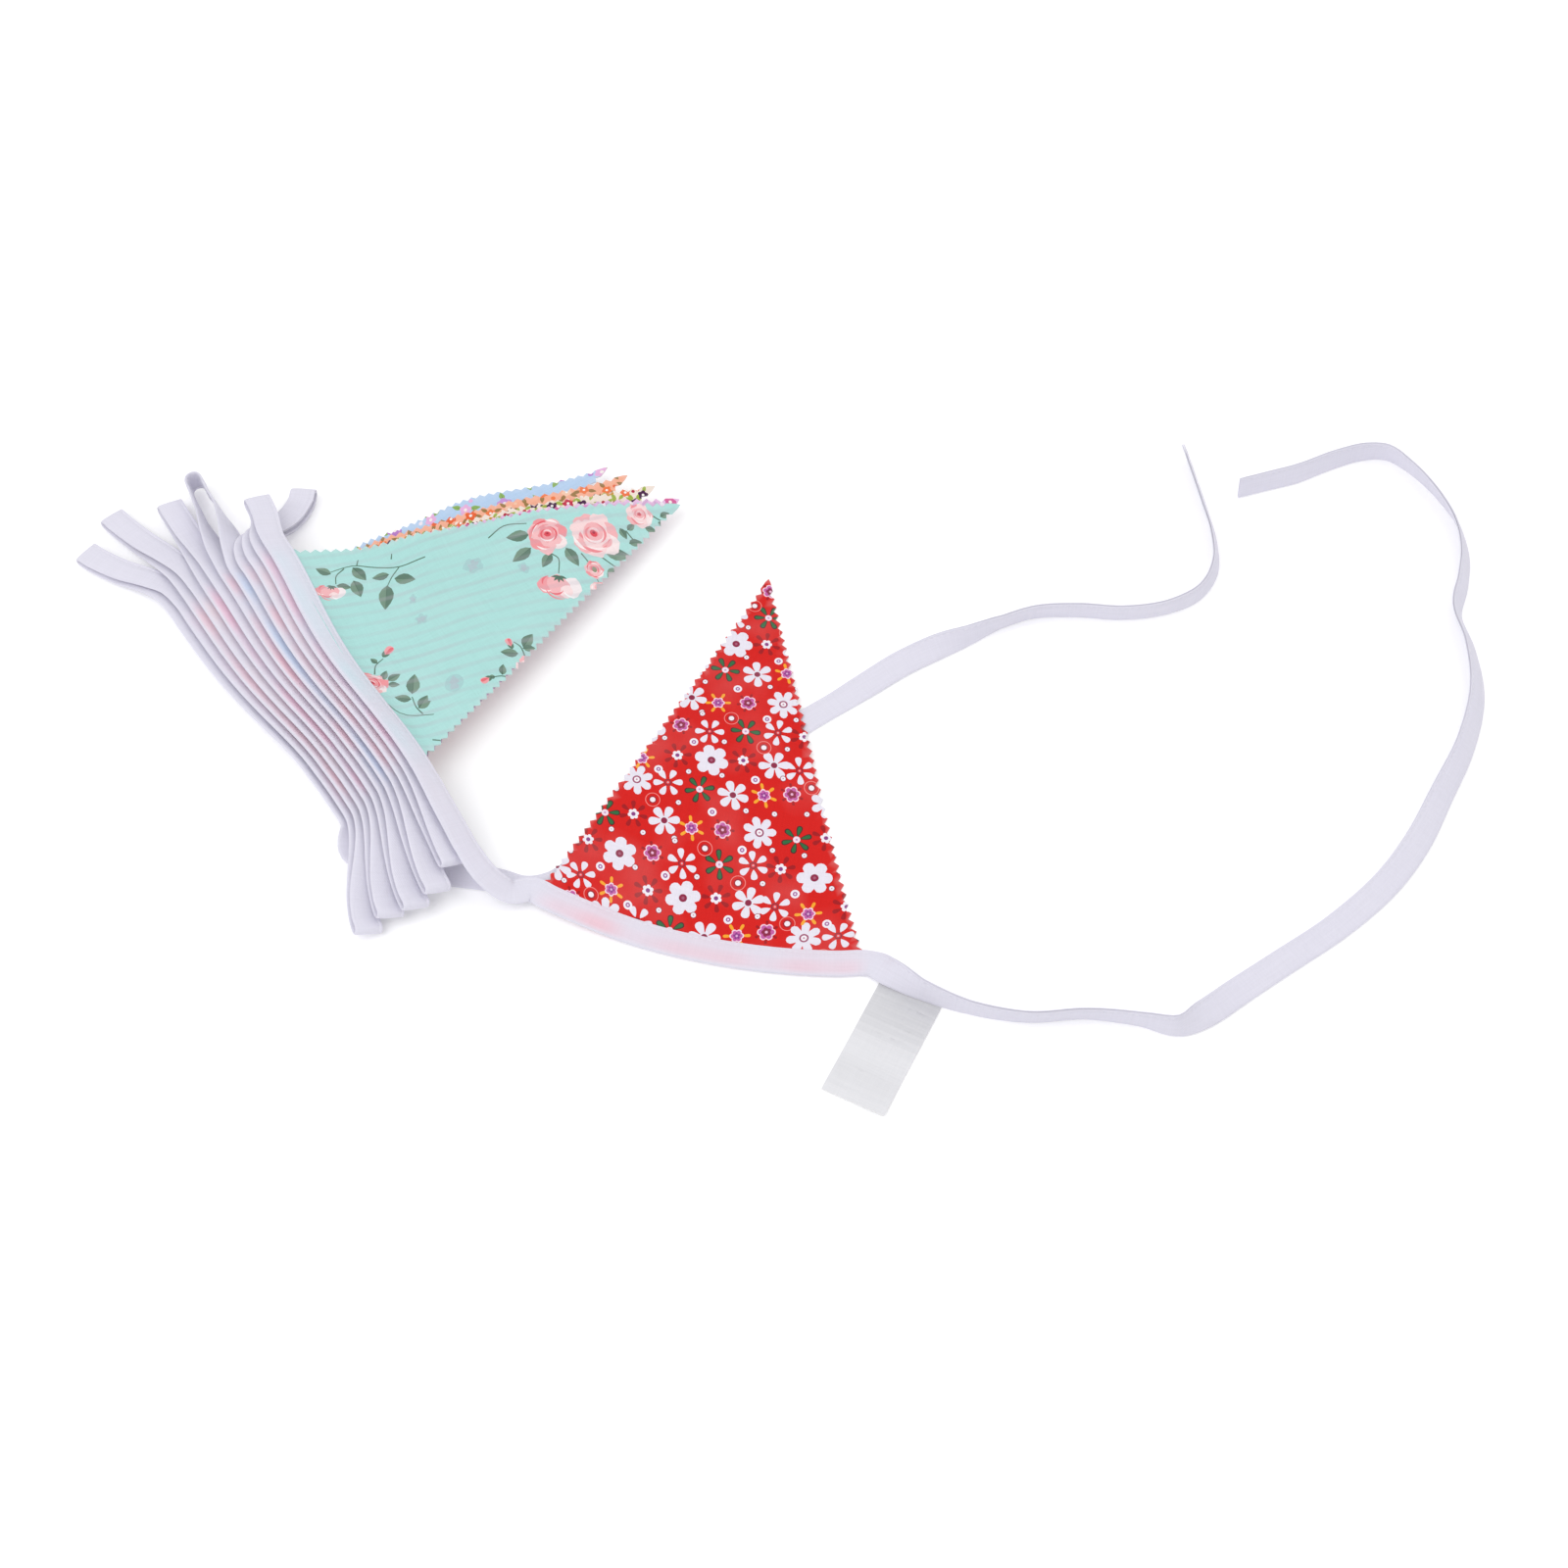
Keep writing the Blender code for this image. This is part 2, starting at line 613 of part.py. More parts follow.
def stations(keys, longest, turn_step):
    """Sections along the tape: place, run, normal and how far the two halves stand apart."""
    places = [item["place"] for item in keys]
    places = [places[0] * 2.0 - places[1]] + places + [places[-1] * 2.0 - places[-2]]
    samples = []
    for index in range(len(keys) - 1):
        quad = places[index:index + 4]
        n0 = keys[index]["normal"]
        n1 = keys[index + 1]["normal"]
        span = (quad[2] - quad[1]).length
        bend = (quad[2] - quad[1]).angle(quad[3] - quad[2], 0.0)
        parts = max(1, math.ceil(span / longest), math.ceil(bend / turn_step),
                    math.ceil(n0.angle(n1, 0.0) / turn_step))
        for part in range(parts):
            x = part / parts
            both = keys[index]["open"] and keys[index + 1]["open"]
            samples.append({
                "place": curve_point(*quad, x),
                "normal": n0.lerp(n1, x).normalized(),
                "open": both or (part == 0 and keys[index]["open"]),
            })
    samples.append({"place": places[-2], "normal": keys[-1]["normal"], "open": False})
    for index, item in enumerate(samples):
        ahead = samples[min(index + 1, len(samples) - 1)]["place"]
        behind = samples[max(index - 1, 0)]["place"]
        run = (ahead - behind).normalized()
        normal = item["normal"]
        item["run"] = run
        item["normal"] = (normal - run * normal.dot(run)).normalized()
    return samples


def tape_section(item):
    """Eight corners of the folded tape: its open edge faces the pennants."""
    side = item["run"].cross(item["normal"])
    slot = 0.5 * GAP + (0.5 * CLOTH + 0.5 * GAP if item["open"] else 0.0)
    outer = slot + TAPE_PLY
    edge = 0.5 * TAPE_WIDTH
    fold = -edge + TAPE_PLY
    profile = ((edge, outer), (-edge, outer), (-edge, -outer), (edge, -outer),
               (edge, -slot), (fold, -slot), (fold, slot), (edge, slot))
    return [item["place"] + side * a + item["normal"] * b for a, b in profile]


def tape_mesh():
    samples = stations(route_keys(), 27.0, math.radians(34.0))
    bm = bmesh.new()
    rings = []
    for item in samples:
        rings.append([bm.verts.new(corner) for corner in tape_section(item)])
    for ring, after in zip(rings, rings[1:]):
        for i in range(8):
            j = (i + 1) % 8
            bm.faces.new([ring[i], ring[j], after[j], after[i]])
    for ring, order in ((rings[0], 1), (rings[-1], -1)):
        for quad in ((0, 1, 6, 7), (1, 2, 5, 6), (2, 3, 4, 5)):
            bm.faces.new([ring[i] for i in quad][::order])
    return finish_mesh(bm, bpy.data.meshes.new("tape"))


def label_mesh():
    """A flat blank strip whose top runs under the tape."""
    across = LABEL_HANG.cross(UP).normalized()
    columns = 2
    rows = 6
    bm = bmesh.new()
    grid = {}
    for layer, z in (("under", 0.0), ("over", 1.0)):
        for row in range(rows + 1):
            for column in range(columns + 1):
                q = row / rows
                lift = 1.2 * smooth((q - 0.72) / 0.28) * (1.0 - column / columns)
                place = (LABEL_TOP + LABEL_HANG * (LABEL_LENGTH * q)
                         + across * (LABEL_WIDTH * (column / columns - 0.5)))
                grid[layer, row, column] = bm.verts.new(place + UP * (z + lift))
    for row in range(rows):
        for column in range(columns):
            over = [grid["over", row, column], grid["over", row + 1, column],
                    grid["over", row + 1, column + 1], grid["over", row, column + 1]]
            under = [grid["under", row, column], grid["under", row, column + 1],
                     grid["under", row + 1, column + 1], grid["under", row + 1, column]]
            bm.faces.new(over)
            bm.faces.new(under)
    for row in range(rows):
        for column in (0, columns):
            bm.faces.new([grid["over", row, column], grid["under", row, column],
                          grid["under", row + 1, column], grid["over", row + 1, column]])
    for column in range(columns):
        for row in (0, rows):
            bm.faces.new([grid["over", row, column], grid["over", row, column + 1],
                          grid["under", row, column + 1], grid["under", row, column]])
    return finish_mesh(bm, bpy.data.meshes.new("label"))


def centre_on_origin(pieces):
    """Move every mesh so that the middle of the whole thing's underside is the origin."""
    corners = [vert.co for piece in pieces for vert in piece.data.vertices]
    low = Vector([min(co[axis] for co in corners) for axis in range(3)])
    high = Vector([max(co[axis] for co in corners) for axis in range(3)])
    shift = Vector((-0.5 * (low.x + high.x), -0.5 * (low.y + high.y), -low.z))
    for piece in pieces:
        for vert in piece.data.vertices:
            vert.co += shift


def main():
    for old in list(bpy.data.objects):
        bpy.data.objects.remove(old)
    pieces = [add_piece("tape", tape_mesh(), (0.88, 0.87, 0.93))]
    flat, faces = sheet_faces(15.0)
    for number, cloth, colour, *_ in BUNDLE:
        name = f"pennant_{number:02d}_{cloth}"
        mesh = sheet_mesh(name, flat, faces, lambda u, v, n=number: bundled_cloth(n, u, v))
        pieces.append(add_piece(name, mesh, colour))
    flat, faces = sheet_faces(15.0, ridge_points())
    mesh = sheet_mesh("pennant_12_red", flat, faces, laid_cloth)
    pieces.append(add_piece("pennant_12_red", mesh, (0.85, 0.10, 0.08)))
    pieces.append(add_piece("label", label_mesh(), (0.90, 0.90, 0.91)))
    centre_on_origin(pieces)


main()
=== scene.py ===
"""Fabric bunting, dressed: folded cotton tape, twelve printed pennants and a blank label as thin cloth.

Working sizes are millimetres in the plane that the bunting lies on. They become metres of the
model's frame where a mesh is made.
"""
import functools
import math
import random

import bpy
import numpy as np
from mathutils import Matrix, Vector, noise
from mathutils.geometry import delaunay_2d_cdt


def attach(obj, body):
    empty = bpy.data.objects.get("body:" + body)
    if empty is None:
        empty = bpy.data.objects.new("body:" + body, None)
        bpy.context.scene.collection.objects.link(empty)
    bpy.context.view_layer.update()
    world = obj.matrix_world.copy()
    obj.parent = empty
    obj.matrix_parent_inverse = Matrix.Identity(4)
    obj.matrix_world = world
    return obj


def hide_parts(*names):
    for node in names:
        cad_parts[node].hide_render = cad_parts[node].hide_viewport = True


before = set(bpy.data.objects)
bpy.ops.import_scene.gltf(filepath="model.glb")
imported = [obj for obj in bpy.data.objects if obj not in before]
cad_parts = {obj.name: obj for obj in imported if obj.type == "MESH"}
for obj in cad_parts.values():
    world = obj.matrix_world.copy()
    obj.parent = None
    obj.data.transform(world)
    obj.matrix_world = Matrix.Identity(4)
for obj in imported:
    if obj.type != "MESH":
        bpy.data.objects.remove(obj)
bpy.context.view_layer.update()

MM = 0.001
UP = Vector((0.0, 0.0, 1.0))
TO_FRAME = Vector((4.7164, -15.2077, 0.0))   # the working plane's origin in the model's frame

# Camera, as fitted to the photograph: it looks at the working plane's origin
CAMERA_HEIGHT = math.radians(56.0)
CAMERA_AWAY = 1000.0
CAMERA_LENS = 51.98

# Cloth, as cut
PENNANT_WIDTH = 140.0
PENNANT_LENGTH = 188.0
SEWN_IN = 5.0              # the solids' cloth reaches 11 mm in; less keeps it out of the thin fold
CLOTH = 0.5                # thin cotton; the solids' cloth is 1 mm
TOOTH_PITCH = 4.7
TOOTH_DEPTH = 2.0
TAPE_WIDTH = 12.0
TAPE_PLY = 0.55
TAPE_TO_TAPE = 3.45
HALF_TAPE = 0.5 * TAPE_WIDTH
HALF_PENNANT = 0.5 * PENNANT_WIDTH
SECTION_LONGEST = 3.2
SECTION_TURN = math.radians(9.0)
STITCH_PITCH = 2.9
STITCH_LENGTH = 2.2
STITCH_RADIUS = 0.15
STITCH_INSET = 1.25
STITCH_BED = 0.06
TINT_FEATHER = 16.0        # how far along the tape a print's tint fades in
SOLID_CLOTH = 1.0
SOLID_PLY = 0.7
GAP = 0.3
LABEL_WIDTH = 28.0
LABEL_LENGTH = 62.0
LABEL_THICK = 0.4
# bands of painted shade down the label, darkest at its seam
LABEL_SHADE_BANDS = 16

# Bundle, in its own frame: t runs along the tapes to the upper left, s runs toward the points
BUNDLE_MIDDLE = Vector((-192.0, 59.5, 0.0))
BUNDLE_TURN = math.radians(121.5)
ALONG = Vector((math.cos(BUNDLE_TURN), math.sin(BUNDLE_TURN), 0.0))
INWARD = Vector((math.sin(BUNDLE_TURN), -math.cos(BUNDLE_TURN), 0.0))
TOP = 11
HALF_LIE = 69.0
LAYER = 1.7
WAIST = 33.0
TOP_FLARE = 14.0
FOOT_FLARE = 22.0
FOOT_SINK = 0.35
FOOT_HUMP = 1.2
STRIP_END = 76.0
STRIP_STEPS = tuple(9.5 * step for step in range(-8, 9))
BOW = 4.0
BED = 0.5
BEND = 8.0
LEAD = 5.0
FALL = 46.0
RIPPLE = 0.8
RIPPLE_LENGTH = 90.0

# number, print, point along t, point along s, slide along t, swell of the upper side
BUNDLE = (
    (1, "blue", 30.0, 140.0, 2.0, 0.0),
    (2, "peach", 14.0, 144.0, -2.0, 0.0),
    (3, "cream", 27.0, 147.0, 1.0, 0.0),
    (4, "lilac", 9.0, 150.0, 0.0, 0.0),
    (5, "mint", 34.0, 148.0, 2.0, 2.0),
    (6, "red", 19.0, 153.0, -2.0, 0.0),
    (7, "blue", 47.5, 155.0, 1.0, 9.0),
    (8, "peach", 34.0, 159.0, 2.0, 4.0),
    (9, "cream", 20.5, 166.5, 0.0, 4.0),
    (10, "lilac", 9.0, 173.5, 0.0, 4.0),
    (11, "mint", 5.3, 171.7, 0.0, 3.5),
)
DRAW_IN = 4.0

# upper strip, tip along t, tip along s, tip height, heading off the tapes, lean, eye, swell
TOP_LOOPS = (
    (11, 107, -1.5, 18, -4, 12, 2.2, 0), (9, 112, 23, 4.4, -36, 0, 2.2, 0),
    (7, 143, -20, 7.8, -6, 84, 3.6, 3), (5, 137, -36, 5.2, 0, 8, 2, 0), (3, 146, -62.3, 3.2, 14, 4, 1.8, 0),
    (1, 131.5, -81.2, 3.1, 22.5, 0, 1.8, 0),
)
FOOT_LOOPS = ((10, -121.0), (8, -128.0), (6, -129.0), (4, -126.0), (2, -127.0))

RED_LEFT = Vector((-103.0, -53.0, 0.0))
RED_RIGHT = Vector((33.0, -86.0, 0.0))
RED_POINT = Vector((-7.0, 117.0, 0.0))
RED_SAG = 9.0

# x, y, lift off the plane below, lean
TAIL_A = (
    (45, -99, 1.5, 40), (57, -107.5, 1.5, 75), (76, -115.5, 1.2, 92), (100, -119.5, 0.3, 98),
    (124, -118, 0.3, 98), (146, -120.5, 0.3, 92), (161, -123.5, 0.3, 74), (173, -117, 0.4, 34),
    (188, -105.5, 0.4, 6), (208, -91.5, 0.2, 0), (234, -73.5, 0.2, 0), (257, -53.5, 0.4, 8),
    (274, -32.5, 0.4, 18), (289, -7, 0.4, 32), (303, 18, 0.4, 42), (313, 47, 0.4, 47), (314, 73, 0.4, 56),
    (311.5, 93, 0.1, 60), (317, 110, 0.4, 58), (321, 128, 0.1, 60), (320, 146, 0.3, 64),
    (313, 165, 0.3, 70), (303, 181, 0.3, 76), (293.5, 190, 0.3, 84), (282, 190.5, 0.3, 92),
    (266, 185, 0.3, 98), (248, 176.5, 0.3, 100), (234, 172, 0.3, 98),
)
TAIL_B = (
    (-186, -36.5, 0.3, -8), (-172.5, -43, 0.1, 0), (-157, -46.5, 0.1, 0), (-140, -48, 0.1, 0),
    (-124, -50.5, 0.1, 0), (-111, -54.5, 0.1, 0), (-99, -52, 0.1, 0), (-84, -40, 0.1, 0),
    (-52, -13.5, 0.1, 0), (-20, 10.7, 0.1, 0), (10, 33.5, 0.1, 0), (24, 43.5, 0.1, 0), (38, 53, 0.4, 12),
    (54, 64, 0.4, 26), (70, 72, 0.4, 46), (84, 77.5, 0.3, 76), (100, 85.5, 0.3, 98), (116, 91.5, 0.3, 100),
    (136, 92.5, 0.3, 98), (156, 91, 0.3, 98), (176, 94, 0.3, 96), (193, 103, 0.3, 86), (202, 118, 0.3, 74),
    (203.5, 136, 0.3, 70), (201, 156, 0.3, 68), (198, 175, 0.3, 68),
)
TIE_FLAT = 12.0
EXIT = ((2.5, -141.0, 6.2, 4.0), (-3.5, -132.0, 12.0, 14.0))   # s, t, middle height, lean
UNDER_RED = (Vector((-106.0, -53.0)), Vector((20.0, 41.0)))
RIDGE = 12.0
RIDGE_FALL = 34.0
LABEL_TOP = Vector((55.5, -100.0, 0.0))
LABEL_HANG = Vector((-0.45, -0.893, 0.0))

# Creases, as soft troughs (minus) or ridges: u, v of both ends, height, half width
MINT_CREASES = (
    (-66, 4, -34, 62, 0.5, 4), (-50, 2, -22, 84, -0.45, 5), (-30, 2, -12, 96, 0.4, 6),
    (8, 3, 4, 92, -0.4, 6), (34, 2, 16, 84, 0.45, 5), (54, 2, 30, 66, -0.5, 4.5),
)
RED_CREASES = (
    (-58, 3, -44, 40, 0.35, 5), (-20, 2, -14, 34, -0.25, 6), (30, 2, 20, 44, 0.3, 6),
    (58, 3, 44, 38, 0.35, 5), (-6, 120, 4, 178, 0.3, 5),
)


def smooth(x):
    x = min(1.0, max(0.0, x))
    return x * x * (3.0 - 2.0 * x)


def mix(a, b, x):
    return a + (b - a) * x


def linear(code):
    """An sRGB hex colour as linear red, green and blue."""
    channels = [int(code[i:i + 2], 16) / 255.0 for i in (1, 3, 5)]
    return np.array([c / 12.92 if c <= 0.04045 else ((c + 0.055) / 1.055) ** 2.4 for c in channels])


def add_object(name, data):
    made = bpy.data.objects.new(name, data)
    bpy.context.scene.collection.objects.link(made)
    return made


def aim(made, place, look):
    made.location = place
    made.rotation_mode = "QUATERNION"
    made.rotation_quaternion = look.to_track_quat("-Z", "Y")


def place_camera():
    data = bpy.data.cameras.new("camera")
    data.lens = CAMERA_LENS
    data.sensor_width = 36.0
    data.clip_start = 0.01
    data.clip_end = 20.0
    camera = add_object("camera", data)
    back = Vector((0.0, -math.cos(CAMERA_HEIGHT), math.sin(CAMERA_HEIGHT)))
    aim(camera, (TO_FRAME + back * CAMERA_AWAY) * MM, -back)
    bpy.context.scene.camera = camera


# Where the cloths lie

def bundle_point(s, t, z):
    return BUNDLE_MIDDLE + INWARD * s + ALONG * t + UP * z


def spread(t):
    top = TOP_FLARE * smooth((t + 40.0) / 120.0)
    foot = FOOT_FLARE * smooth((-t - HALF_LIE - 5.0) / 54.0)
    return WAIST + top + foot


def layer_at(t):
    return LAYER * (1.0 - FOOT_SINK * smooth((-t - STRIP_END) / 50.0))


def edge_s(number, t):
    bow = BOW * (1.0 - min(1.0, abs(t) / HALF_LIE) ** 2) ** 2
    return -spread(t) * (TOP - number) / (TOP - 1) - bow


def lean_of_tapes(t):
    step = spread(t) / (TOP - 1)
    rise = layer_at(t)
    return math.asin(TAPE_TO_TAPE / math.hypot(step, rise)) - math.atan2(rise, step)


def normal_of_tapes(t):
    lean = lean_of_tapes(t)
    return INWARD * math.sin(lean) + UP * math.cos(lean)


def tape_place(number, t, across):
    lean = lean_of_tapes(t)
    s = edge_s(number, t) - across * math.cos(lean)
    hump = FOOT_HUMP * (smooth((-t - 74.0) / 10.0) - smooth((-t - 104.0) / 16.0))
    z = BED + layer_at(t) * (number - 1) + 0.5 * BEND * math.tan(lean) + across * math.sin(lean)
    return bundle_point(s, t, z + hump)


def beside(number, s, t):
    """Distance outside the sides of a bundled pennant; minus is inside."""
    t_point, s_point, slide = BUNDLE[number - 1][2:5]
    far = -1000.0
    for side in (-1.0, 1.0):
        t_corner = slide + side * HALF_LIE
        corner = (edge_s(number, t_corner), t_corner)
        run = (s_point - corner[0], t_point - corner[1])
        off = (s - corner[0], t - corner[1])
        far = max(far, side * (run[0] * off[1] - run[1] * off[0]) / math.hypot(*run))
    return far


def cloth_height(number, s, t):
    missing = 0.0
    for lower in range(1, number):
        missing += smooth((beside(lower, s, t) - 2.0) / FALL)
    fall = smooth(s / 70.0) * LAYER * missing
    wave = math.sin((0.92 * t + 0.4 * s) * 2.0 * math.pi / RIPPLE_LENGTH + 0.9)
    swell = math.cos((0.25 * t - s) * 2.0 * math.pi / (1.9 * RIPPLE_LENGTH))
    ripple = RIPPLE * (1.4 + 0.9 * wave + 0.5 * swell) * (number - 1) / (TOP - 1)
    return BED + LAYER * (number - 1) - fall + ripple * smooth((s - 6.0) / 46.0)


def side_swell(number, u, q):
    """How far the upper side of a bundled pennant lies off a straight line, at a share q of its length."""
    swell = BUNDLE[number - 1][5] * math.exp(-((q - 0.62) / 0.17) ** 2)
    drawn = DRAW_IN * math.sin(math.pi * min(1.0, q / 0.34)) ** 2
    upper = smooth(0.5 + 0.5 * u / (HALF_PENNANT * max(0.05, 1.0 - q)))
    return (swell - drawn) * upper * smooth((1.0 - q) / 0.15)


def bundled_cloth(number, u, v):
    t_point, s_point, slide = BUNDLE[number - 1][2:5]
    t_base = slide + u * HALF_LIE / (HALF_PENNANT)
    if v <= 0.0:
        return tape_place(number, t_base, -v)
    q = v / PENNANT_LENGTH
    t = t_base + q * (t_point - slide) + side_swell(number, u, q)
    s = edge_s(number, t_base) + q * (s_point - edge_s(number, slide))
    rise = 0.0
    if v < BEND:
        slope = math.tan(lean_of_tapes(t_base))
        rise = slope * (0.5 * BEND - v * (1.0 - 0.5 * v / BEND))
    return bundle_point(s, t, cloth_height(number, s, t) + rise)


def tail_rise(x, y):
    start, end = UNDER_RED
    way = end - start
    off = Vector((x, y)) - start
    share = min(1.0, max(0.0, off.dot(way) / way.length_squared))
    distance = (off - way * share).length
    return (2.0 * SOLID_PLY + 2.6 * GAP) * (1.0 - smooth((distance - RIDGE) / RIDGE_FALL))


def laid_cloth(u, v):
    base = RED_LEFT.lerp(RED_RIGHT, 0.5 + u / PENNANT_WIDTH)
    middle = RED_LEFT.lerp(RED_RIGHT, 0.5)
    down = Vector((-0.236, -0.972, 0.0))
    q = v / PENNANT_LENGTH
    place = base + (RED_POINT - middle) * q
    bulge = 1.0 - (u / (HALF_PENNANT)) ** 2
    place = place + down * (RED_SAG * bulge * max(0.0, 1.0 - max(0.0, q)) ** 3)
    bed = mix(0.5 * SOLID_CLOTH + GAP + SOLID_PLY, 0.5 * SOLID_CLOTH, smooth(v / 18.0))
    spot = place if v > 0.0 else base + down * RED_SAG * bulge
    return place + UP * (bed + tail_rise(spot.x, spot.y))


def label_cloth(u, v):
    """The blank label: it bends down from under the tape and one lower corner lifts a little."""
    across = LABEL_HANG.cross(UP).normalized()
    q = v / LABEL_LENGTH
    lift = 1.0 * smooth((q - 0.72) / 0.28) * (0.5 - u / LABEL_WIDTH)
    swell = 0.25 * math.sin(q * 7.0 + 0.05 * u) * smooth(q * 3.0) + 0.2 * math.cos(0.16 * u + 3.0 * q)
    return LABEL_TOP + LABEL_HANG * v + across * u + UP * (0.45 + lift + max(-0.2, swell) * 0.6)


# Route of the tape

def key(place, normal, open_slot=False, number=0):
    return {"place": place, "normal": normal, "open": open_slot, "number": number}


def strip_keys(number):
    sign = 1.0 if number % 2 else -1.0
    keys = []
    for t in STRIP_STEPS:
        place = tape_place(number, t, HALF_TAPE)
        keys.append(key(place, normal_of_tapes(t) * sign, True, number))
    return keys if sign > 0.0 else keys[::-1]


def turn_keys(tip, heading, normal, eye, sign):
    centre = tip - heading * eye
    keys = [key(centre + normal * eye - heading * LEAD, normal * sign)]
    for degrees in (90.0, 45.0, 0.0, -45.0, -90.0):
        turn = math.radians(degrees)
        outward = heading * math.cos(turn) + normal * math.sin(turn)
        keys.append(key(centre + outward * eye, outward * sign))
    keys.append(key(centre - normal * eye - heading * LEAD, -normal * sign))
    return keys


def foot_middle(number, t):
    upper = tape_place(number, t, HALF_TAPE)
    return upper.lerp(tape_place(number - 1, t, HALF_TAPE), 0.5)


def foot_loop_keys(number, t_tip):
    heading = (foot_middle(number, t_tip) - foot_middle(number, t_tip + 8.0)).normalized()
    normal = normal_of_tapes(t_tip)
    normal = (normal - heading * normal.dot(heading)).normalized()
    eye = 0.5 * TAPE_TO_TAPE
    turn = turn_keys(foot_middle(number, t_tip), heading, normal, eye, -1.0)
    ways = []
    for side, strip in ((1.0, number), (-1.0, number - 1)):
        way = []
        for share in (0.2, 0.4, 0.6, 0.8):
            t = mix(-STRIP_END, t_tip + eye + LEAD, share)
            own = tape_place(strip, t, HALF_TAPE)
            joined = foot_middle(number, t) + normal_of_tapes(t) * (side * eye)
            way.append(key(own.lerp(joined, smooth(share)), normal_of_tapes(t) * -side))
        ways.append(way)
    return ways[0] + turn + ways[1][::-1]


def way_between(root, tip, heading, swell):
    start, end = root["place"], tip["place"]
    reach = (end - start).length
    keys = []
    for share in (0.25, 0.5, 0.75):
        near = start + ALONG * (reach * 0.4)
        far = end - heading * (reach * 0.4)
        rest = 1.0 - share
        place = (start * rest ** 3 + near * (3.0 * rest ** 2 * share)
                 + far * (3.0 * rest * share ** 2) + end * share ** 3)
        normal = root["normal"].lerp(tip["normal"], smooth(share)).normalized()
        keys.append(key(place + tip["normal"] * (swell * math.sin(math.pi * share)), normal))
    return keys


def top_loop_keys(row, before, after):
    _, t, s, z, off, lean, eye, swell = row
    off = math.radians(off)
    lean = math.radians(lean)
    heading = ALONG * math.cos(off) - INWARD * math.sin(off)
    side = (INWARD - heading * INWARD.dot(heading)).normalized()
    normal = side * math.sin(lean) + UP * math.cos(lean)
    turn = turn_keys(bundle_point(s, t, z), heading, normal, eye, 1.0)
    onward = way_between(before, turn[0], heading, swell)
    back = way_between(after, turn[-1], heading, 0.0)
    return onward + turn + back[::-1]


def return_keys():
    closer = normal_of_tapes(0.0) * (0.5 * SOLID_CLOTH)
    keys = []
    for t in STRIP_STEPS[::-1]:
        keys.append(key(tape_place(0, t, HALF_TAPE) + closer, -normal_of_tapes(t)))
    return keys


def standing(lean):
    lean = math.radians(lean)
    return HALF_TAPE * abs(math.sin(lean)) + (SOLID_PLY + 0.5 * GAP) * abs(math.cos(lean))


def tail_keys(rows, sign=1.0):
    places = [Vector((row[0], row[1], row[2] + standing(row[3]))) for row in rows]
    keys = []
    for index, row in enumerate(rows):
        ahead = places[min(index + 1, len(rows) - 1)]
        behind = places[max(index - 1, 0)]
        side = (ahead - behind).normalized().cross(UP).normalized()
        lean = math.radians(row[3])
        keys.append(key(places[index], (UP * math.cos(lean) + side * math.sin(lean)) * sign))
    run = (places[-1] - places[-2]).normalized()
    for beyond in (4.0, 4.0 + TIE_FLAT):
        keys.append(key(places[-1] + run * beyond, keys[-1]["normal"]))
    return keys


def laid_tape_keys():
    keys = []
    for share in (1.06, 0.85, 0.57, 0.28, 0.0, -0.28, -0.5, -0.65, -0.8, -0.93, -1.06):
        place = laid_cloth(share * HALF_PENNANT, -HALF_TAPE)
        keys.append(key(place, UP.copy(), True, 12))
    return keys


def route_keys():
    keys = tail_keys(TAIL_A)[::-1]
    keys.extend(laid_tape_keys())
    for s, t, z, lean in EXIT:
        lean = math.radians(lean)
        keys.append(key(bundle_point(s, t, z), INWARD * math.sin(lean) + UP * math.cos(lean)))
    for t in (-118.0, -111.0, -104.0, -97.0, -90.0, -83.0):
        keys.append(key(tape_place(TOP, t, HALF_TAPE), normal_of_tapes(t)))
    strips = {number: strip_keys(number) for number in range(1, TOP + 1)}
    tail = return_keys() + tail_keys(TAIL_B, -1.0)
    tops = {row[0]: row for row in TOP_LOOPS}
    feet = dict(FOOT_LOOPS)
    for number in range(TOP, 0, -1):
        keys.extend(strips[number])
        if number in feet:
            keys.extend(foot_loop_keys(number, feet[number]))
        else:
            after = strips[number - 1][0] if number > 1 else tail[0]
            keys.extend(top_loop_keys(tops[number], strips[number][-1], after))
    keys.extend(tail)
    return keys


def curve_point(a, b, c, d, x):
    """Centripetal Catmull-Rom blend between b and c."""
    k0 = 0.0
    k1 = k0 + max(1e-3, math.sqrt((b - a).length))
    k2 = k1 + max(1e-3, math.sqrt((c - b).length))
    k3 = k2 + max(1e-3, math.sqrt((d - c).length))
    k = mix(k1, k2, x)
    p = a * ((k1 - k) / (k1 - k0)) + b * ((k - k0) / (k1 - k0))
    q = b * ((k2 - k) / (k2 - k1)) + c * ((k - k1) / (k2 - k1))
    r = c * ((k3 - k) / (k3 - k2)) + d * ((k - k2) / (k3 - k2))
    m = p * ((k2 - k) / (k2 - k0)) + q * ((k - k0) / (k2 - k0))
    n = q * ((k3 - k) / (k3 - k1)) + r * ((k - k1) / (k3 - k1))
    return m * ((k2 - k) / (k2 - k1)) + n * ((k - k1) / (k2 - k1))


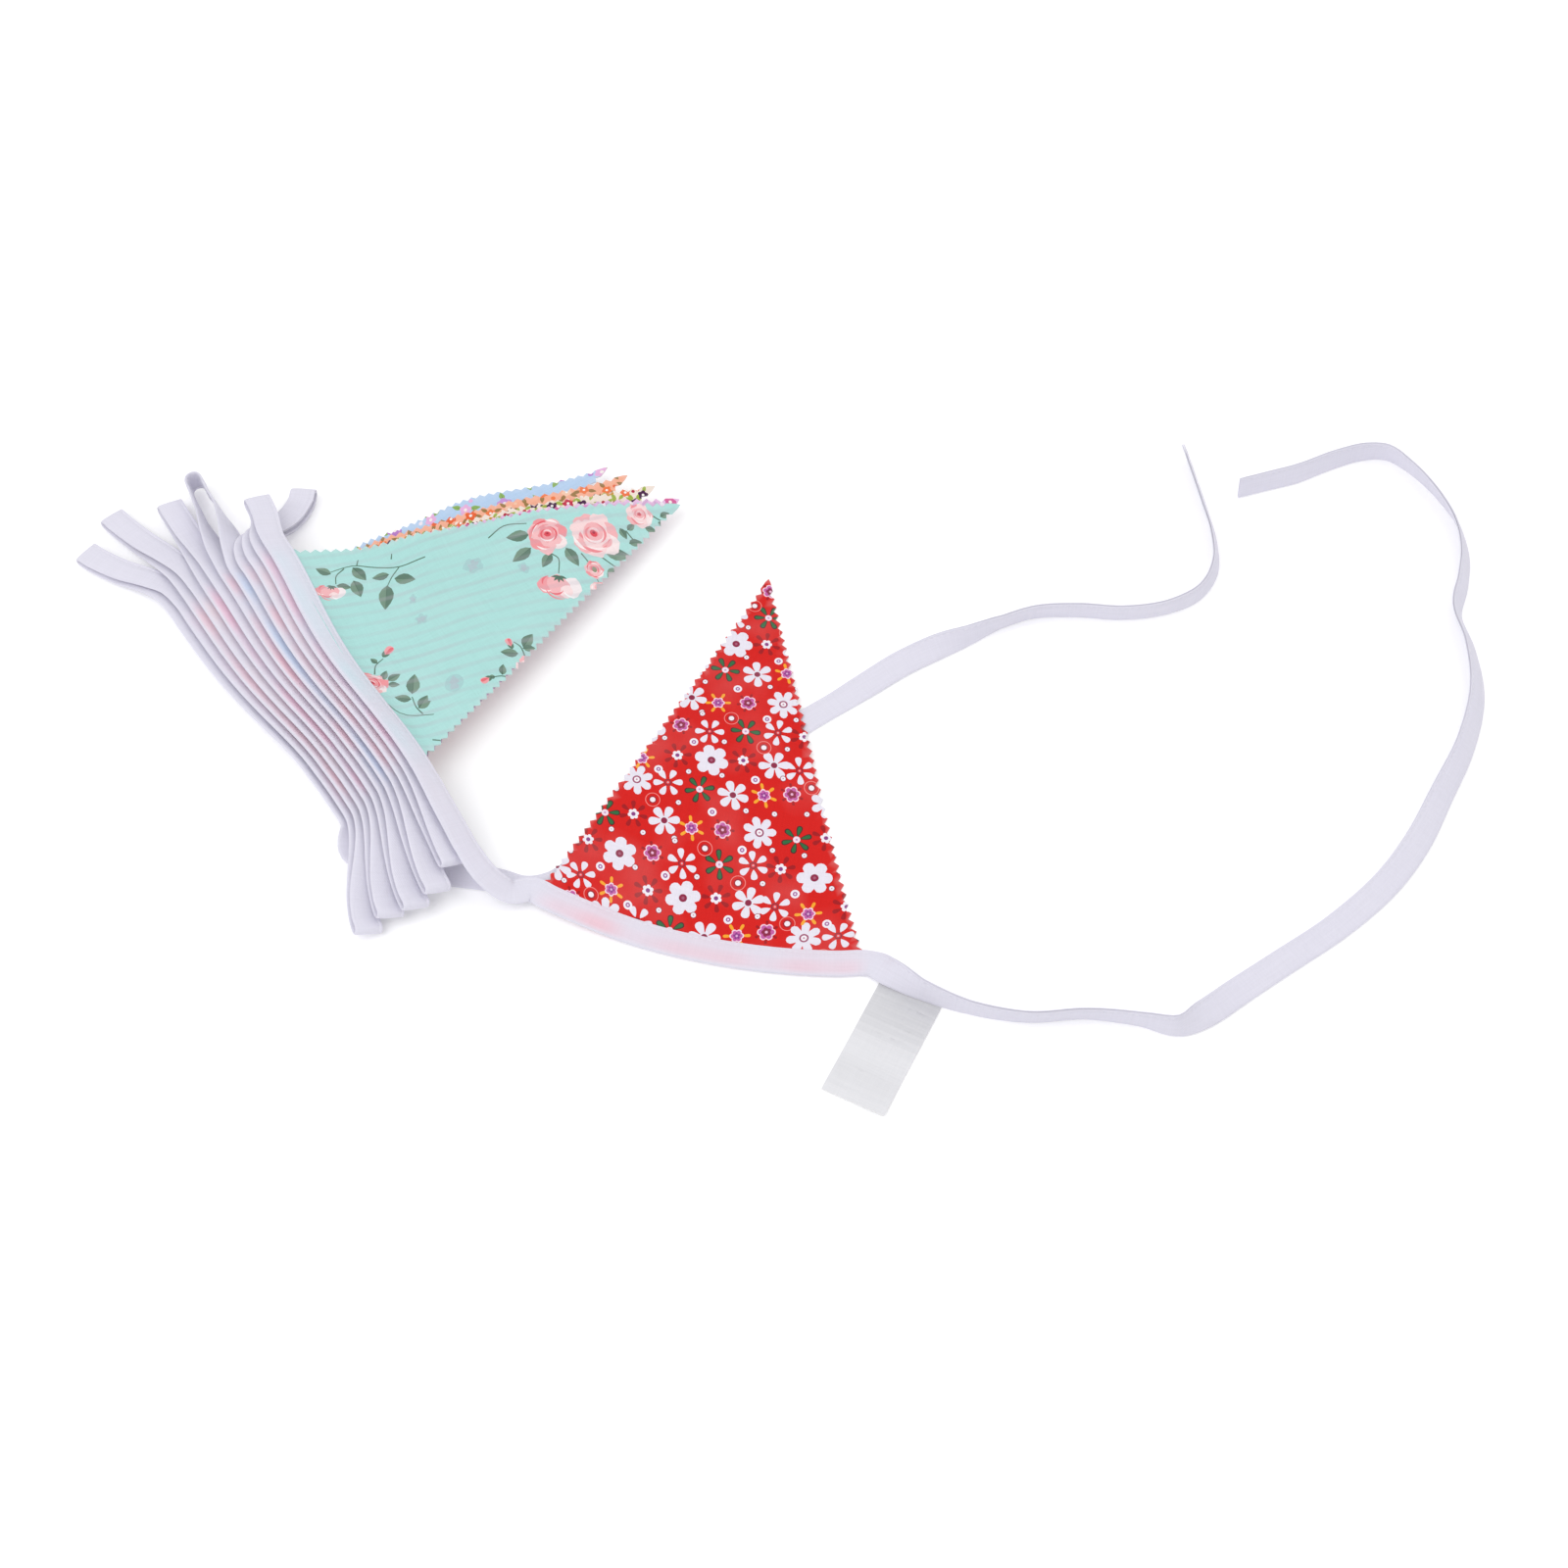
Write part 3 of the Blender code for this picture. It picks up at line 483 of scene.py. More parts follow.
def stations(keys):
    """Sections along the tape: place, run, normal, how open it is and whose pennant it holds."""
    places = [item["place"] for item in keys]
    places = [places[0] * 2.0 - places[1]] + places + [places[-1] * 2.0 - places[-2]]
    samples = []
    for index in range(len(keys) - 1):
        quad = places[index:index + 4]
        n0 = keys[index]["normal"]
        n1 = keys[index + 1]["normal"]
        span = (quad[2] - quad[1]).length
        bend = (quad[2] - quad[1]).angle(quad[3] - quad[2], 0.0)
        parts = max(1, math.ceil(span / SECTION_LONGEST), math.ceil(bend / SECTION_TURN),
                    math.ceil(n0.angle(n1, 0.0) / SECTION_TURN))
        both = keys[index]["open"] and keys[index + 1]["open"]
        for part in range(parts):
            x = part / parts
            samples.append({"place": curve_point(*quad, x), "normal": n0.lerp(n1, x).normalized(),
                            "open": 1.0 if both else 0.0,
                            "number": keys[index]["number"] if both else 0})
    samples.append({"place": places[-2], "normal": keys[-1]["normal"], "open": 0.0, "number": 0})
    length = 0.0
    for index, item in enumerate(samples):
        ahead = samples[min(index + 1, len(samples) - 1)]["place"]
        behind = samples[max(index - 1, 0)]["place"]
        run = (ahead - behind).normalized()
        normal = item["normal"]
        item["run"] = run
        item["normal"] = (normal - run * normal.dot(run)).normalized()
        if index:
            length += (item["place"] - samples[index - 1]["place"]).length
        item["length"] = length
    for _ in range(3):
        opened = [item["open"] for item in samples]
        for index in range(1, len(samples) - 1):
            samples[index]["open"] = (opened[index - 1] + opened[index] + opened[index + 1]) / 3.0
    return samples


# Prints, as flat shapes in the pennant's own u and v, painted in order

def disc(u, v, r, n=16):
    return [(u + r * math.cos(a), v + r * math.sin(a)) for a in (2.0 * math.pi * i / n for i in range(n))]


def lobed(u, v, low, high, count, turn, n=6):
    """A closed flower outline with rounded lobes."""
    points = []
    for i in range(count * n):
        a = 2.0 * math.pi * i / (count * n)
        r = mix(low, high, abs(math.cos(0.5 * count * a)) ** 0.6)
        points.append((u + r * math.cos(a + turn), v + r * math.sin(a + turn)))
    return points


def petal(u, v, turn, inner, outer, width, n=7):
    """A drop with its wide, round end outward."""
    points = []
    for side in (1.0, -1.0):
        for i in range(n):
            x = math.sin(0.5 * math.pi * (i / n if side > 0.0 else 1.0 - i / n))
            r = mix(inner, outer, x)
            w = side * width * 1.25 * x ** 0.7 * math.sqrt(1.0 - x ** 5) if 0.0 < x < 1.0 else 0.0
            points.append((u + r * math.cos(turn) - w * math.sin(turn),
                           v + r * math.sin(turn) + w * math.cos(turn)))
    return points


def petals(u, v, count, inner, outer, width, turn, colour):
    return [(petal(u, v, turn + 2.0 * math.pi * i / count, inner, outer, width), colour)
            for i in range(count)]


LEAF_GREEN = "#75927F"
LEAF_SHADE = "#5F7D6D"


def leaf(u, v, degrees, length, width, colour=LEAF_GREEN, rib="#4D6A5B"):
    """A pointed leaf from its stalk end, with a rib. The mint print's have a darker half too."""
    turn = math.radians(degrees)
    along = Vector((math.cos(turn), math.sin(turn)))
    over = Vector((-along.y, along.x))
    foot = Vector((u, v))
    sides = {}
    for side in (1.0, -1.0):
        sides[side] = [foot + along * length * x + over * (side * width * math.sin(math.pi * x ** 0.8))
                       for x in (0.15, 0.35, 0.55, 0.75, 0.9)]
    tip = foot + along * length
    whole = [foot] + sides[1.0] + [tip] + sides[-1.0][::-1]
    half = [foot] + [p - over * 0.12 for p in sides[-1.0]] + [tip]
    vein = [foot - over * 0.22, foot + along * length * 0.86, foot + over * 0.22]
    shapes = [(whole, colour), (half, LEAF_SHADE), (vein, rib)]
    if colour != LEAF_GREEN:
        del shapes[1]
    return [([tuple(p) for p in shape], shade) for shape, shade in shapes]


def stem(points, width, colour="#5D7C6C"):
    """A thin curved line through a few points."""
    knots = [Vector(p) for p in points]
    knots = [2.0 * knots[0] - knots[1]] + knots + [2.0 * knots[-1] - knots[-2]]
    rail = [curve_point(*knots[i:i + 4], x / 4.0) for i in range(len(knots) - 3) for x in range(4)]
    rail.append(knots[-2])
    left, right = [], []
    for i, p in enumerate(rail):
        run = (rail[min(i + 1, len(rail) - 1)] - rail[max(i - 1, 0)]).normalized()
        over = Vector((-run.y, run.x)) * (0.5 * width * (1.0 - 0.4 * i / len(rail)))
        left.append(tuple(p + over))
        right.append(tuple(p - over))
    return [(left + right[::-1], colour)]


def blob(u, v, r, rng, n=14, rough=0.16):
    """A brush dab: a disc with an uneven rim."""
    a0 = rng.uniform(0.0, 6.28)
    k1 = rng.uniform(-1.0, 1.0)
    k2 = rng.uniform(-1.0, 1.0)
    points = []
    for i in range(n):
        a = 2.0 * math.pi * i / n
        reach = r * (1.0 + rough * (k1 * math.sin(2.0 * a + a0) + k2 * math.sin(5.0 * a - a0)))
        points.append((u + reach * math.cos(a), v + reach * math.sin(a)))
    return points


def crescent(u, v, r, start, sweep, width):
    """A curved stroke that is widest at its middle."""
    outer, inner = [], []
    for i in range(9):
        x = i / 8.0
        a = math.radians(start + sweep * x)
        w = width * math.sin(math.pi * x)
        outer.append((u + (r + 0.5 * w) * math.cos(a), v + (r + 0.5 * w) * math.sin(a)))
        inner.append((u + (r - 0.5 * w) * math.cos(a), v + (r - 0.5 * w) * math.sin(a)))
    return outer + inner[::-1][1:-1]


def painted_rose(u, v, r, rng, deep=False):
    """A soft full-blown garden rose: pale outer petals, coral inner ones and a small dark heart."""
    pale, mid, strong = "#F7D8D9", "#F2B4B8", "#EC8B92"
    if deep:
        pale, mid, strong = "#F4BDC0", "#EF959B", "#E5626C"
    layers = []
    for i in range(7):
        a = 2.0 * math.pi * i / 7 + rng.uniform(-0.15, 0.15)
        dab = blob(u + 0.58 * r * math.cos(a), v + 0.58 * r * math.sin(a), r * rng.uniform(0.40, 0.50), rng)
        layers.append((dab, (mid, pale, mid, "#F8E6E6", pale, mid, pale)[i]))
    layers.append((blob(u, v, 0.66 * r, rng, 18), pale))
    for i in range(9):
        start = rng.uniform(0.0, 360.0)
        layers.append((crescent(u, v, r * rng.uniform(0.52, 0.90), start, rng.uniform(40.0, 80.0),
                                r * rng.uniform(0.08, 0.16)), ("#FBEDED", strong, mid)[i % 3]))
    layers.append((blob(u + 0.08 * r, v, 0.44 * r, rng), mid))
    for i in range(5):
        layers.append((crescent(u + 0.05 * r, v, r * (0.46 - 0.08 * i), 40.0 + 97.0 * i, 140.0,
                                r * 0.10), (strong, "#FBE6E7", strong, "#F9D2D5", strong)[i]))
    layers.append((blob(u + 0.05 * r, v, 0.15 * r, rng, 10), "#DD4B58"))
    layers.append((disc(u + 0.08 * r, v + 0.03 * r, 0.06 * r, 8), "#A92F42"))
    return layers


def rose_bud(u, v, degrees, length):
    turn = math.radians(degrees)
    foot = (u - length * math.cos(turn), v - length * math.sin(turn))
    layers = [(petal(*foot, turn, 0.0, length, 0.30 * length), "#F1A3A8"),
              (petal(*foot, turn + 0.1, 0.25 * length, 0.95 * length, 0.14 * length), "#E66E78")]
    for off in (28.0, -28.0):
        layers += leaf(*foot, degrees + off, 0.5 * length, 0.10 * length, "#66836F")
    return layers


def hanging_rose(u, v, degrees, r, rng):
    """A half-open rose that hangs from its stalk at u, v, white on one side."""
    turn = math.radians(degrees)
    c, s = math.cos(turn), math.sin(turn)

    def at(x, y):
        return u + r * (x * c - y * s), v + r * (x * s + y * c)

    layers = [(blob(*at(x, y), reach * r, rng), colour) for x, y, reach, colour in (
        (0.75, -0.75, 0.66, "#F4EAEC"), (0.80, 0.70, 0.62, "#F0A0A6"),
        (0.80, 0.0, 0.76, "#F3B7BB"), (1.10, -0.45, 0.42, "#F8DEDF"))]
    for x, y, reach, start, colour in (
            (0.85, 0.25, 0.55, -70.0, "#E8737D"), (0.85, 0.75, 0.42, -50.0, "#FBE9EA"),
            (1.0, -0.7, 0.40, -40.0, "#FFFFFF"), (0.9, 0.0, 0.80, -30.0, "#EE8F96"),
            (0.6, 0.5, 0.50, 60.0, "#E8737D")):
        layers.append((crescent(*at(x, y), reach * r, degrees + start, 110.0, 0.13 * r), colour))
    for off in (-75.0, -38.0, 0.0, 38.0, 75.0):
        layers += leaf(*at(0.05, 0.0), degrees + off, 0.5 * r, 0.09 * r, "#5A7868")
    return layers


# Each motif of the red print, from its lowest layer up: a shape, its sizes and its colour.
# petals: count, inner, outer, width, turn. lobed: low, high, count, points to a lobe. disc: radius, points.
PETAL_WHITE = "#E9E4F0"
PLUM = "#8E2747"
PINK = "#C55FA6"
SHADOW_RED = "#A3151B"
GROUND_RED = "#D61813"
RED_MOTIFS = {
    "cloud": ((lobed, 5.2, 7.8, 6, 6, PETAL_WHITE), (disc, 1.8, 16, PLUM), (disc, 0.7, 8, "#A65A74")),
    "eyelet": ((lobed, 3.6, 7.5, 7, 6, PETAL_WHITE), (disc, 2.0, 16, "#9C4468"), (disc, 1.3, 12, "#F6F1F6"),
               (disc, 0.5, 8, "#C99AB0")),
    "daisy": ((petals, 6, 0.4, 7.1, 2.1, 0.0, PETAL_WHITE), (disc, 2.1, 16, PETAL_WHITE),
              (disc, 1.45, 16, PLUM)),
    "drops": ((petals, 6, 1.9, 6.7, 1.65, 0.0, PETAL_WHITE), (disc, 1.6, 16, "#7E2A3C"),
              (disc, 1.15, 10, "#D9262A"), (disc, 0.5, 8, "#E7A9B2")),
    "green": ((petals, 6, 1.3, 6.9, 1.5, 0.0, "#4A2226"), (petals, 6, 1.9, 6.4, 1.0, 0.0, "#2F6B3F"),
              (disc, 1.6, 16, "#F0DDEB"), (disc, 0.55, 8, "#C79AC0")),
    "shadow": ((petals, 7, 2.2, 6.5, 1.15, 0.0, SHADOW_RED), (lobed, 1.9, 2.6, 6, 4, "#F1EBF3"),
               (disc, 1.0, 10, "#8C3F83")),
    "star": ((petals, 6, 1.6, 5.9, 0.8, 0.0, "#F6A92E"), (lobed, 2.4, 3.1, 6, 4, "#F3D3E6"),
             (lobed, 1.9, 2.5, 6, 4, PINK), (lobed, 0.9, 1.6, 5, 4, "#8E3B8A"), (disc, 0.55, 8, "#E0A9D6")),
    "rosette": ((petals, 6, 3.0, 5.3, 0.7, 0.5, SHADOW_RED), (lobed, 3.1, 4.0, 6, 4, "#F4CFE0"),
                (lobed, 2.5, 3.4, 6, 4, PINK), (lobed, 1.3, 2.2, 5, 5, PLUM), (disc, 0.65, 8, "#EDB6D6")),
    "dot": ((disc, 1.45, 12, "#8E2233"), (disc, 1.15, 12, "#EFE9F2"), (disc, 0.3, 6, "#B7808F")),
    "eye": ((disc, 2.0, 14, "#F1ECF4"), (disc, 1.05, 10, "#A05A99"), (disc, 0.45, 8, "#EFE9F2")),
    "halo": ((disc, 3.4, 22, "#F08A86"), (disc, 3.05, 22, GROUND_RED), (disc, 1.95, 14, "#A81F2B"),
             (disc, 1.25, 12, "#F2ECF3")),
}


def red_motif(kind, u, v, turn=0.0):
    layers = []
    for shape, *sizes, colour in RED_MOTIFS[kind]:
        if shape is petals:
            count, inner, outer, width, off = sizes
            layers += petals(u, v, count, inner, outer, width, turn + off, colour)
        elif shape is lobed:
            low, high, count, n = sizes
            layers.append((lobed(u, v, low, high, count, turn, n), colour))
        else:
            layers.append((disc(u, v, *sizes), colour))
    return layers


# The red print's repeat. It steps down a little as it goes across.
RED_ACROSS = (85.0, 8.0)
RED_UP = 65.5
# u, v, kind
RED_FLOWERS = (
    (-50.5, 43, "green"), (-38, 46, "shadow"), (-24, 46.5, "daisy"), (-11.5, 46, "star"),
    (2, 48.5, "rosette"), (18, 51, "eyelet"), (-40, 63, "eyelet"), (-26, 65, "drops"), (-11.5, 65, "green"),
    (3.5, 65.5, "daisy"), (17, 68.5, "star"), (29, 72, "rosette"), (-40, 74.5, "star"),
    (-24.5, 79.5, "shadow"), (-9, 80.5, "cloud"), (5, 83.5, "shadow"), (19, 84, "daisy"),
    (30.5, 84, "drops"), (-40, 91.5, "cloud"), (-26, 96, "rosette"), (-12.5, 95, "drops"),
    (3.5, 98.5, "green"), (18, 101, "drops"), (30, 101.5, "shadow"),
)
RED_DOTS = (
    (-4, 104, "halo"), (13, 92, "halo"), (37, 77, "halo"), (-31, 55, "halo"), (-4, 55.5, "eye"),
    (-18.5, 88, "eye"), (12, 107, "eye"), (-31.5, 70.5, "eye"), (-47, 83, "eye"), (12, 75, "eye"),
    (-5, 91, "dot"), (-19.5, 56.5, "dot"), (10.5, 59.5, "dot"), (-18, 105, "dot"), (-3, 74, "dot"),
    (25, 109.5, "dot"), (23.5, 93.5, "dot"), (-32, 87.5, "dot"), (-18, 72.5, "dot"), (24, 78.5, "dot"),
    (-32, 104, "dot"), (-46, 101.5, "dot"), (23, 61, "dot"), (37, 64, "dot"), (-17.5, 38.5, "dot"),
)


def red_print():
    rng = random.Random(11)
    layers = []
    for across in range(-2, 3):
        for up in range(-2, 3):
            du, dv = across * RED_ACROSS[0], across * RED_ACROSS[1] + up * RED_UP
            for u, v, kind in RED_FLOWERS:
                layers += red_motif(kind, u + du, v + dv, rng.uniform(0.0, 6.28))
            for u, v, kind in RED_DOTS:
                layers += red_motif(kind, u + du, v + dv)
    return layers


# The mint print, set out one by one. Leaves: stalk end u, v and tip u, v
ROSE_LEAVES = (
    (15, 109, 20, 98), (8, 106, 6, 94), (0.5, 113, -4.5, 105), (-0.5, 121, -11.5, 121),
    (-10, 137, -15, 148), (-1, 151, -7, 151), (-8, 152, -12, 157), (-9, 151, -10.5, 157.5),
    (-3, 154, -1.5, 159), (-18, 137, -21, 130.5), (-19, 138, -24, 136), (-19.5, 139, -22, 143.5),
    (-4.5, 163, -8, 167.5), (-4, 171, -7, 173), (-2, 173.5, -2, 179), (-29, 116, -30.5, 111),
    (-40, 68, -36, 61), (-38, 72, -34, 80), (-38.5, 71.5, -40.5, 77), (-46.5, 55, -42, 58.5),
    (-49.5, 55, -54, 50), (-46, 51.5, -45, 48.5), (49, 11, 55, 5.5), (41, 11, 37, 17), (49, 22, 38.5, 25),
    (41, 19.5, 29.5, 19), (36, 36.5, 38.5, 28), (32, 38, 24, 47), (30, 33, 17, 26.5), (-10.5, 9.5, -6.5, 8),
    (-20.5, 6.5, -16.5, 11), (-22, 8.5, -21.5, 15.5), (-24, 7.5, -27, 12), (-34.5, 14, -25, 21),
    (-37, 12, -32, 6), (-43, 12, -42.5, 19), (-43, 12.5, -39, 19.5), (-66, 13, -70, 18),
)
ROSE_STEMS = (
    ((25, 90), (26.5, 100), (21, 111)), ((0, 113), (-4, 114.5), (-11, 110)),
    ((-6, 126), (-11, 126.5), (-22, 125)), ((-11, 134), (-18, 138), (-22, 143)),
    ((-3, 153), (-8, 154), (-10, 155)), ((-0.5, 170), (-4, 173), (-6, 179)),
    ((-42.5, 70), (-37.5, 71), (-34, 69.5)), ((-52.5, 58.5), (-47.5, 55.5), (-45.5, 49)),
    ((33, 57), (36.5, 44), (44, 32), (50, 22), (50, 7)), ((37, 43), (33.5, 37), (29, 32.5)),
    ((50, 18), (47, 13), (42, 11)), ((43.5, 41), (46, 42.5)), ((49, 24), (52, 26)),
    ((-16, 5), (-11.5, 8), (-9.5, 13)), ((-34, 0), (-42, 3), (-50, 16)),
    ((-47, 12), (-42, 11.5), (-36, 13)), ((-62, 8), (-66, 13)),
)


def mint_print():
    """Loose painted rose sprays over a plain ground."""
    rng = random.Random(5)
    layers = []
    # Motifs of the pennants below, seen faintly through the thin cloth
    for u, v, r in ((15, 76, 4.6), (2, 39.5, 3.0), (-39.5, 33.5, 4.8), (0, 97, 2.8), (15, 41, 2.2)):
        layers.append((blob(u, v, r, rng, 18, 0.25), "#A7D0D0"))
        layers.append((blob(u, v, 0.6 * r, rng, 14, 0.4), "#AFC5CB"))
    for points in ROSE_STEMS:
        layers += stem(points, 0.75)
    for u0, v0, u1, v1 in ROSE_LEAVES:
        length = math.hypot(u1 - u0, v1 - v0)
        layers += leaf(u0, v0, math.degrees(math.atan2(v1 - v0, u1 - u0)), length, 0.24 * length + 0.3)
    layers += hanging_rose(-12.0, 109.5, 214.0, 7.8, rng)
    layers += painted_rose(-25.5, 123.5, 4.6, rng)
    layers += painted_rose(-15.5, 127.0, 4.6, rng, True)
    layers.append((blob(-15.5, 127.0, 1.3, rng), "#8A8F6F"))
    for u, v, r, deep in ((2.0, 164.0, 6.6, False), (10.0, 117.0, 10.0, True), (0.5, 137.5, 12.2, False),
                          (-48.0, 68.5, 6.0, False)):
        layers += painted_rose(u, v, r, rng, deep)
    layers += hanging_rose(42.0, 9.0, 215.0, 5.4, rng)
    layers += painted_rose(-21.5, 1.0, 7.0, rng, True)
    for bud in ((-31.0, 68.0, 10.0, 6.0), (-46.0, 44.0, 265.0, 6.0), (-5.0, 20.0, 62.0, 7.5)):
        layers += rose_bud(*bud)
    return layers


# Small all-over prints of the pennants whose edges show: ground, flowers, leaf and rib, cell, flower radius
POSIES = {
    "lilac": ("#E9BEE3", ("#F5EAF5", "#DF8CC9", "#F1D3EA", "#D9679F"), ("#DDB4DA", "#C79CC6"), 9.5, 3.0),
    "cream": ("#F1E2D6", ("#4A1D47", "#C4304C", "#EE7446", "#4A1D47", "#C9953A", "#B5233F"),
              ("#A5B84C", "#7E8D3E"), 8.6, 2.7),
    "peach": ("#F6B195", ("#F07A45", "#F7E9DE", "#E8622F", "#F5C8AE"), ("#9A7A45", "#A9744A"), 11.0, 3.2),
    "blue": ("#B8D2F0", ("#C795D8", "#E9B3DE", "#F2E9F5", "#B77BCB"), ("#8DB35C", "#5C8152"), 21.0, 4.2),
}


def posy_print(cloth, seed):
    _, blooms, greens, cell, radius = POSIES[cloth]
    rng = random.Random(seed)
    layers = []
    rows = int(PENNANT_LENGTH / (0.87 * cell)) + 3
    for row in range(-2, rows):
        v = row * 0.87 * cell
        reach = HALF_PENNANT * (1.0 - v / PENNANT_LENGTH) + cell
        for column in range(-int(reach / cell) - 1, int(reach / cell) + 2):
            u = (column + 0.5 * (row % 2)) * cell + rng.uniform(-1.6, 1.6)
            w = v + rng.uniform(-1.6, 1.6)
            turn = rng.uniform(0.0, 360.0)
            for side in (0.0, 150.0, 235.0):
                a = math.radians(turn + side)
                layers += leaf(u + 0.6 * radius * math.cos(a), w + 0.6 * radius * math.sin(a), turn + side,
                               1.5 * radius, 0.36 * radius, greens[0], greens[1])
            bloom = rng.choice(blooms)
            r = radius * rng.uniform(0.8, 1.15)
            layers.append((lobed(u, w, 0.55 * r, r, 5, math.radians(turn), 5), bloom))
            layers.append((disc(u, w, 0.27 * r, 8), "#F7F1EC" if bloom != "#F7F1EC" else "#D9A94E"))
            a = math.radians(turn + 95.0)
            layers.append((disc(u + 1.5 * radius * math.cos(a), w + 1.5 * radius * math.sin(a), 0.36 * r, 8),
                           rng.choice(blooms)))
    return layers


def inside(points, polygon):
    """Which points lie inside a closed polygon."""
    ring = np.asarray(polygon, float)
    x, y = points[:, 0:1], points[:, 1:2]
    x0, y0 = ring[:, 0], ring[:, 1]
    x1, y1 = np.roll(x0, -1), np.roll(y0, -1)
    rise = np.where(y1 == y0, 1e-9, y1 - y0)
    crossing = ((y0 > y) != (y1 > y)) & (x < (x1 - x0) * (y - y0) / rise + x0)
    return crossing.sum(axis=1) % 2 == 1


def pinked_outline():
    """The cut pennant, with the zigzag of pinking shears down both long sides."""
    half = HALF_PENNANT
    flare = half * SEWN_IN / PENNANT_LENGTH
    side = math.hypot(half, PENNANT_LENGTH)
    count = int(side / TOOTH_PITCH)
    right = [(half + flare, -SEWN_IN), (half, 0.0)]
    for tooth in range(count):
        for part, depth in ((0.25, 0.0), (0.75, TOOTH_DEPTH)):
            q = (tooth + part) / count
            u = half * (1.0 - q) - depth * PENNANT_LENGTH / side
            v = PENNANT_LENGTH * q - depth * half / side
            if u > 0.7:
                right.append((u, v))
    left = [(-u, v) for u, v in reversed(right)]
    return right + [(0.0, PENNANT_LENGTH - 1.2)] + left


def flat_mesh(outline, layers, spacing, nap):
    """Cuts a flat cloth along its outline and along every shape printed on it.

    Returns its points, its triangles and each triangle's printed colour. nap is the ground colour.
    """
    ring = np.asarray(outline, float)
    low, high = ring.min(axis=0), ring.max(axis=0)
    points = [tuple(p) for p in outline]
    edges = [(i, (i + 1) % len(points)) for i in range(len(points))]
    rows = int((high[1] - low[1]) / (0.87 * spacing)) + 1
    grid = []
    for row in range(rows + 1):
        v = low[1] + 0.6 + row * 0.87 * spacing
        columns = int((high[0] - low[0]) / spacing) + 1
        for column in range(columns + 1):
            grid.append((low[0] + (column + 0.5 * (row % 2)) * spacing, v))
    grid = np.asarray(grid)
    grid = grid[inside(grid, ring)]
    points += [tuple(p) for p in grid]
    kept = []
    for shape, colour in layers:
        poly = np.asarray(shape, float)
        if poly[:, 0].max() < low[0] or poly[:, 0].min() > high[0]:
            continue
        if poly[:, 1].max() < low[1] or poly[:, 1].min() > high[1] or not inside(poly, ring).any():
            continue
        kept.append((poly, linear(colour)))
        first = len(points)
        points += [tuple(p) for p in poly]
        edges += [(first + i, first + (i + 1) % len(poly)) for i in range(len(poly))]
    verts, _, faces, _, _, _ = delaunay_2d_cdt([Vector(p) for p in points], edges, [], 0, 1.0e-3, False)
    flat = np.array([tuple(p) for p in verts])
    tris = np.array([f for f in faces if len(f) == 3])
    middle = flat[tris].mean(axis=1)
    tris = tris[inside(middle, ring)]
    middle = flat[tris].mean(axis=1)
    colours = np.tile(linear(nap), (len(tris), 1))
    for poly, colour in kept:
        box = ((middle >= poly.min(axis=0)) & (middle <= poly.max(axis=0))).all(axis=1)
        spots = np.nonzero(box)[0]
        if len(spots):
            colours[spots[inside(middle[spots], poly)]] = colour
    used = np.unique(tris)
    index = np.full(len(flat), -1)
    index[used] = np.arange(len(used))
    return flat[used], index[tris], colours


def near_cut(flat, outline):
    """How close each point is to the cut edge, from 1 at the cut to 0 inside."""
    ring = np.asarray(outline, float)
    after = np.roll(ring, -1, axis=0)
    best = np.full(len(flat), 1e9)
    for a, b in zip(ring, after):
        way = b - a
        share = np.clip(((flat - a) @ way) / max(1e-9, way @ way), 0.0, 1.0)
        gap = np.hypot(*(flat - a - share[:, None] * way).T)
        best = np.minimum(best, gap)
    return np.exp(-best / 0.3)


def crease_height(creases, u, v):
    height = 0.0
    for u0, v0, u1, v1, rise, width in creases:
        way = Vector((u1 - u0, v1 - v0))
        off = Vector((u - u0, v - v0))
        share = min(1.0, max(0.0, off.dot(way) / way.length_squared))
        gap = (off - way * share).length
        height += rise * math.exp(-(gap / width) ** 2) * math.sin(math.pi * min(1.0, 0.12 + 0.8 * share))
    return height


def crumple(u, v, seed):
    """The slight unevenness of washed cotton."""
    return noise.noise(Vector((u / 17.0, v / 23.0, 3.7 * seed))) * 0.35 \
        + noise.noise(Vector((u / 6.0, v / 9.0, 5.1 * seed))) * 0.10


def dress_cloth(mesh, domain, colours, wear, uvs):
    """Gives a cloth mesh its print, the wear of its cut edges and the way its threads run."""
    layer = mesh.color_attributes.new("print", "FLOAT_COLOR", domain)
    layer.data.foreach_set("color", np.asarray(colours, np.float32).ravel())
    worn = mesh.attributes.new("edge_wear", "FLOAT", "POINT")
    worn.data.foreach_set("value", np.asarray(wear, np.float32))
    loops = np.empty(len(mesh.loops), np.int64)
    mesh.loops.foreach_get("vertex_index", loops)
    uv = mesh.uv_layers.new(name="cloth_mm")
    uv.data.foreach_set("uv", np.asarray(uvs, np.float32)[loops].ravel())


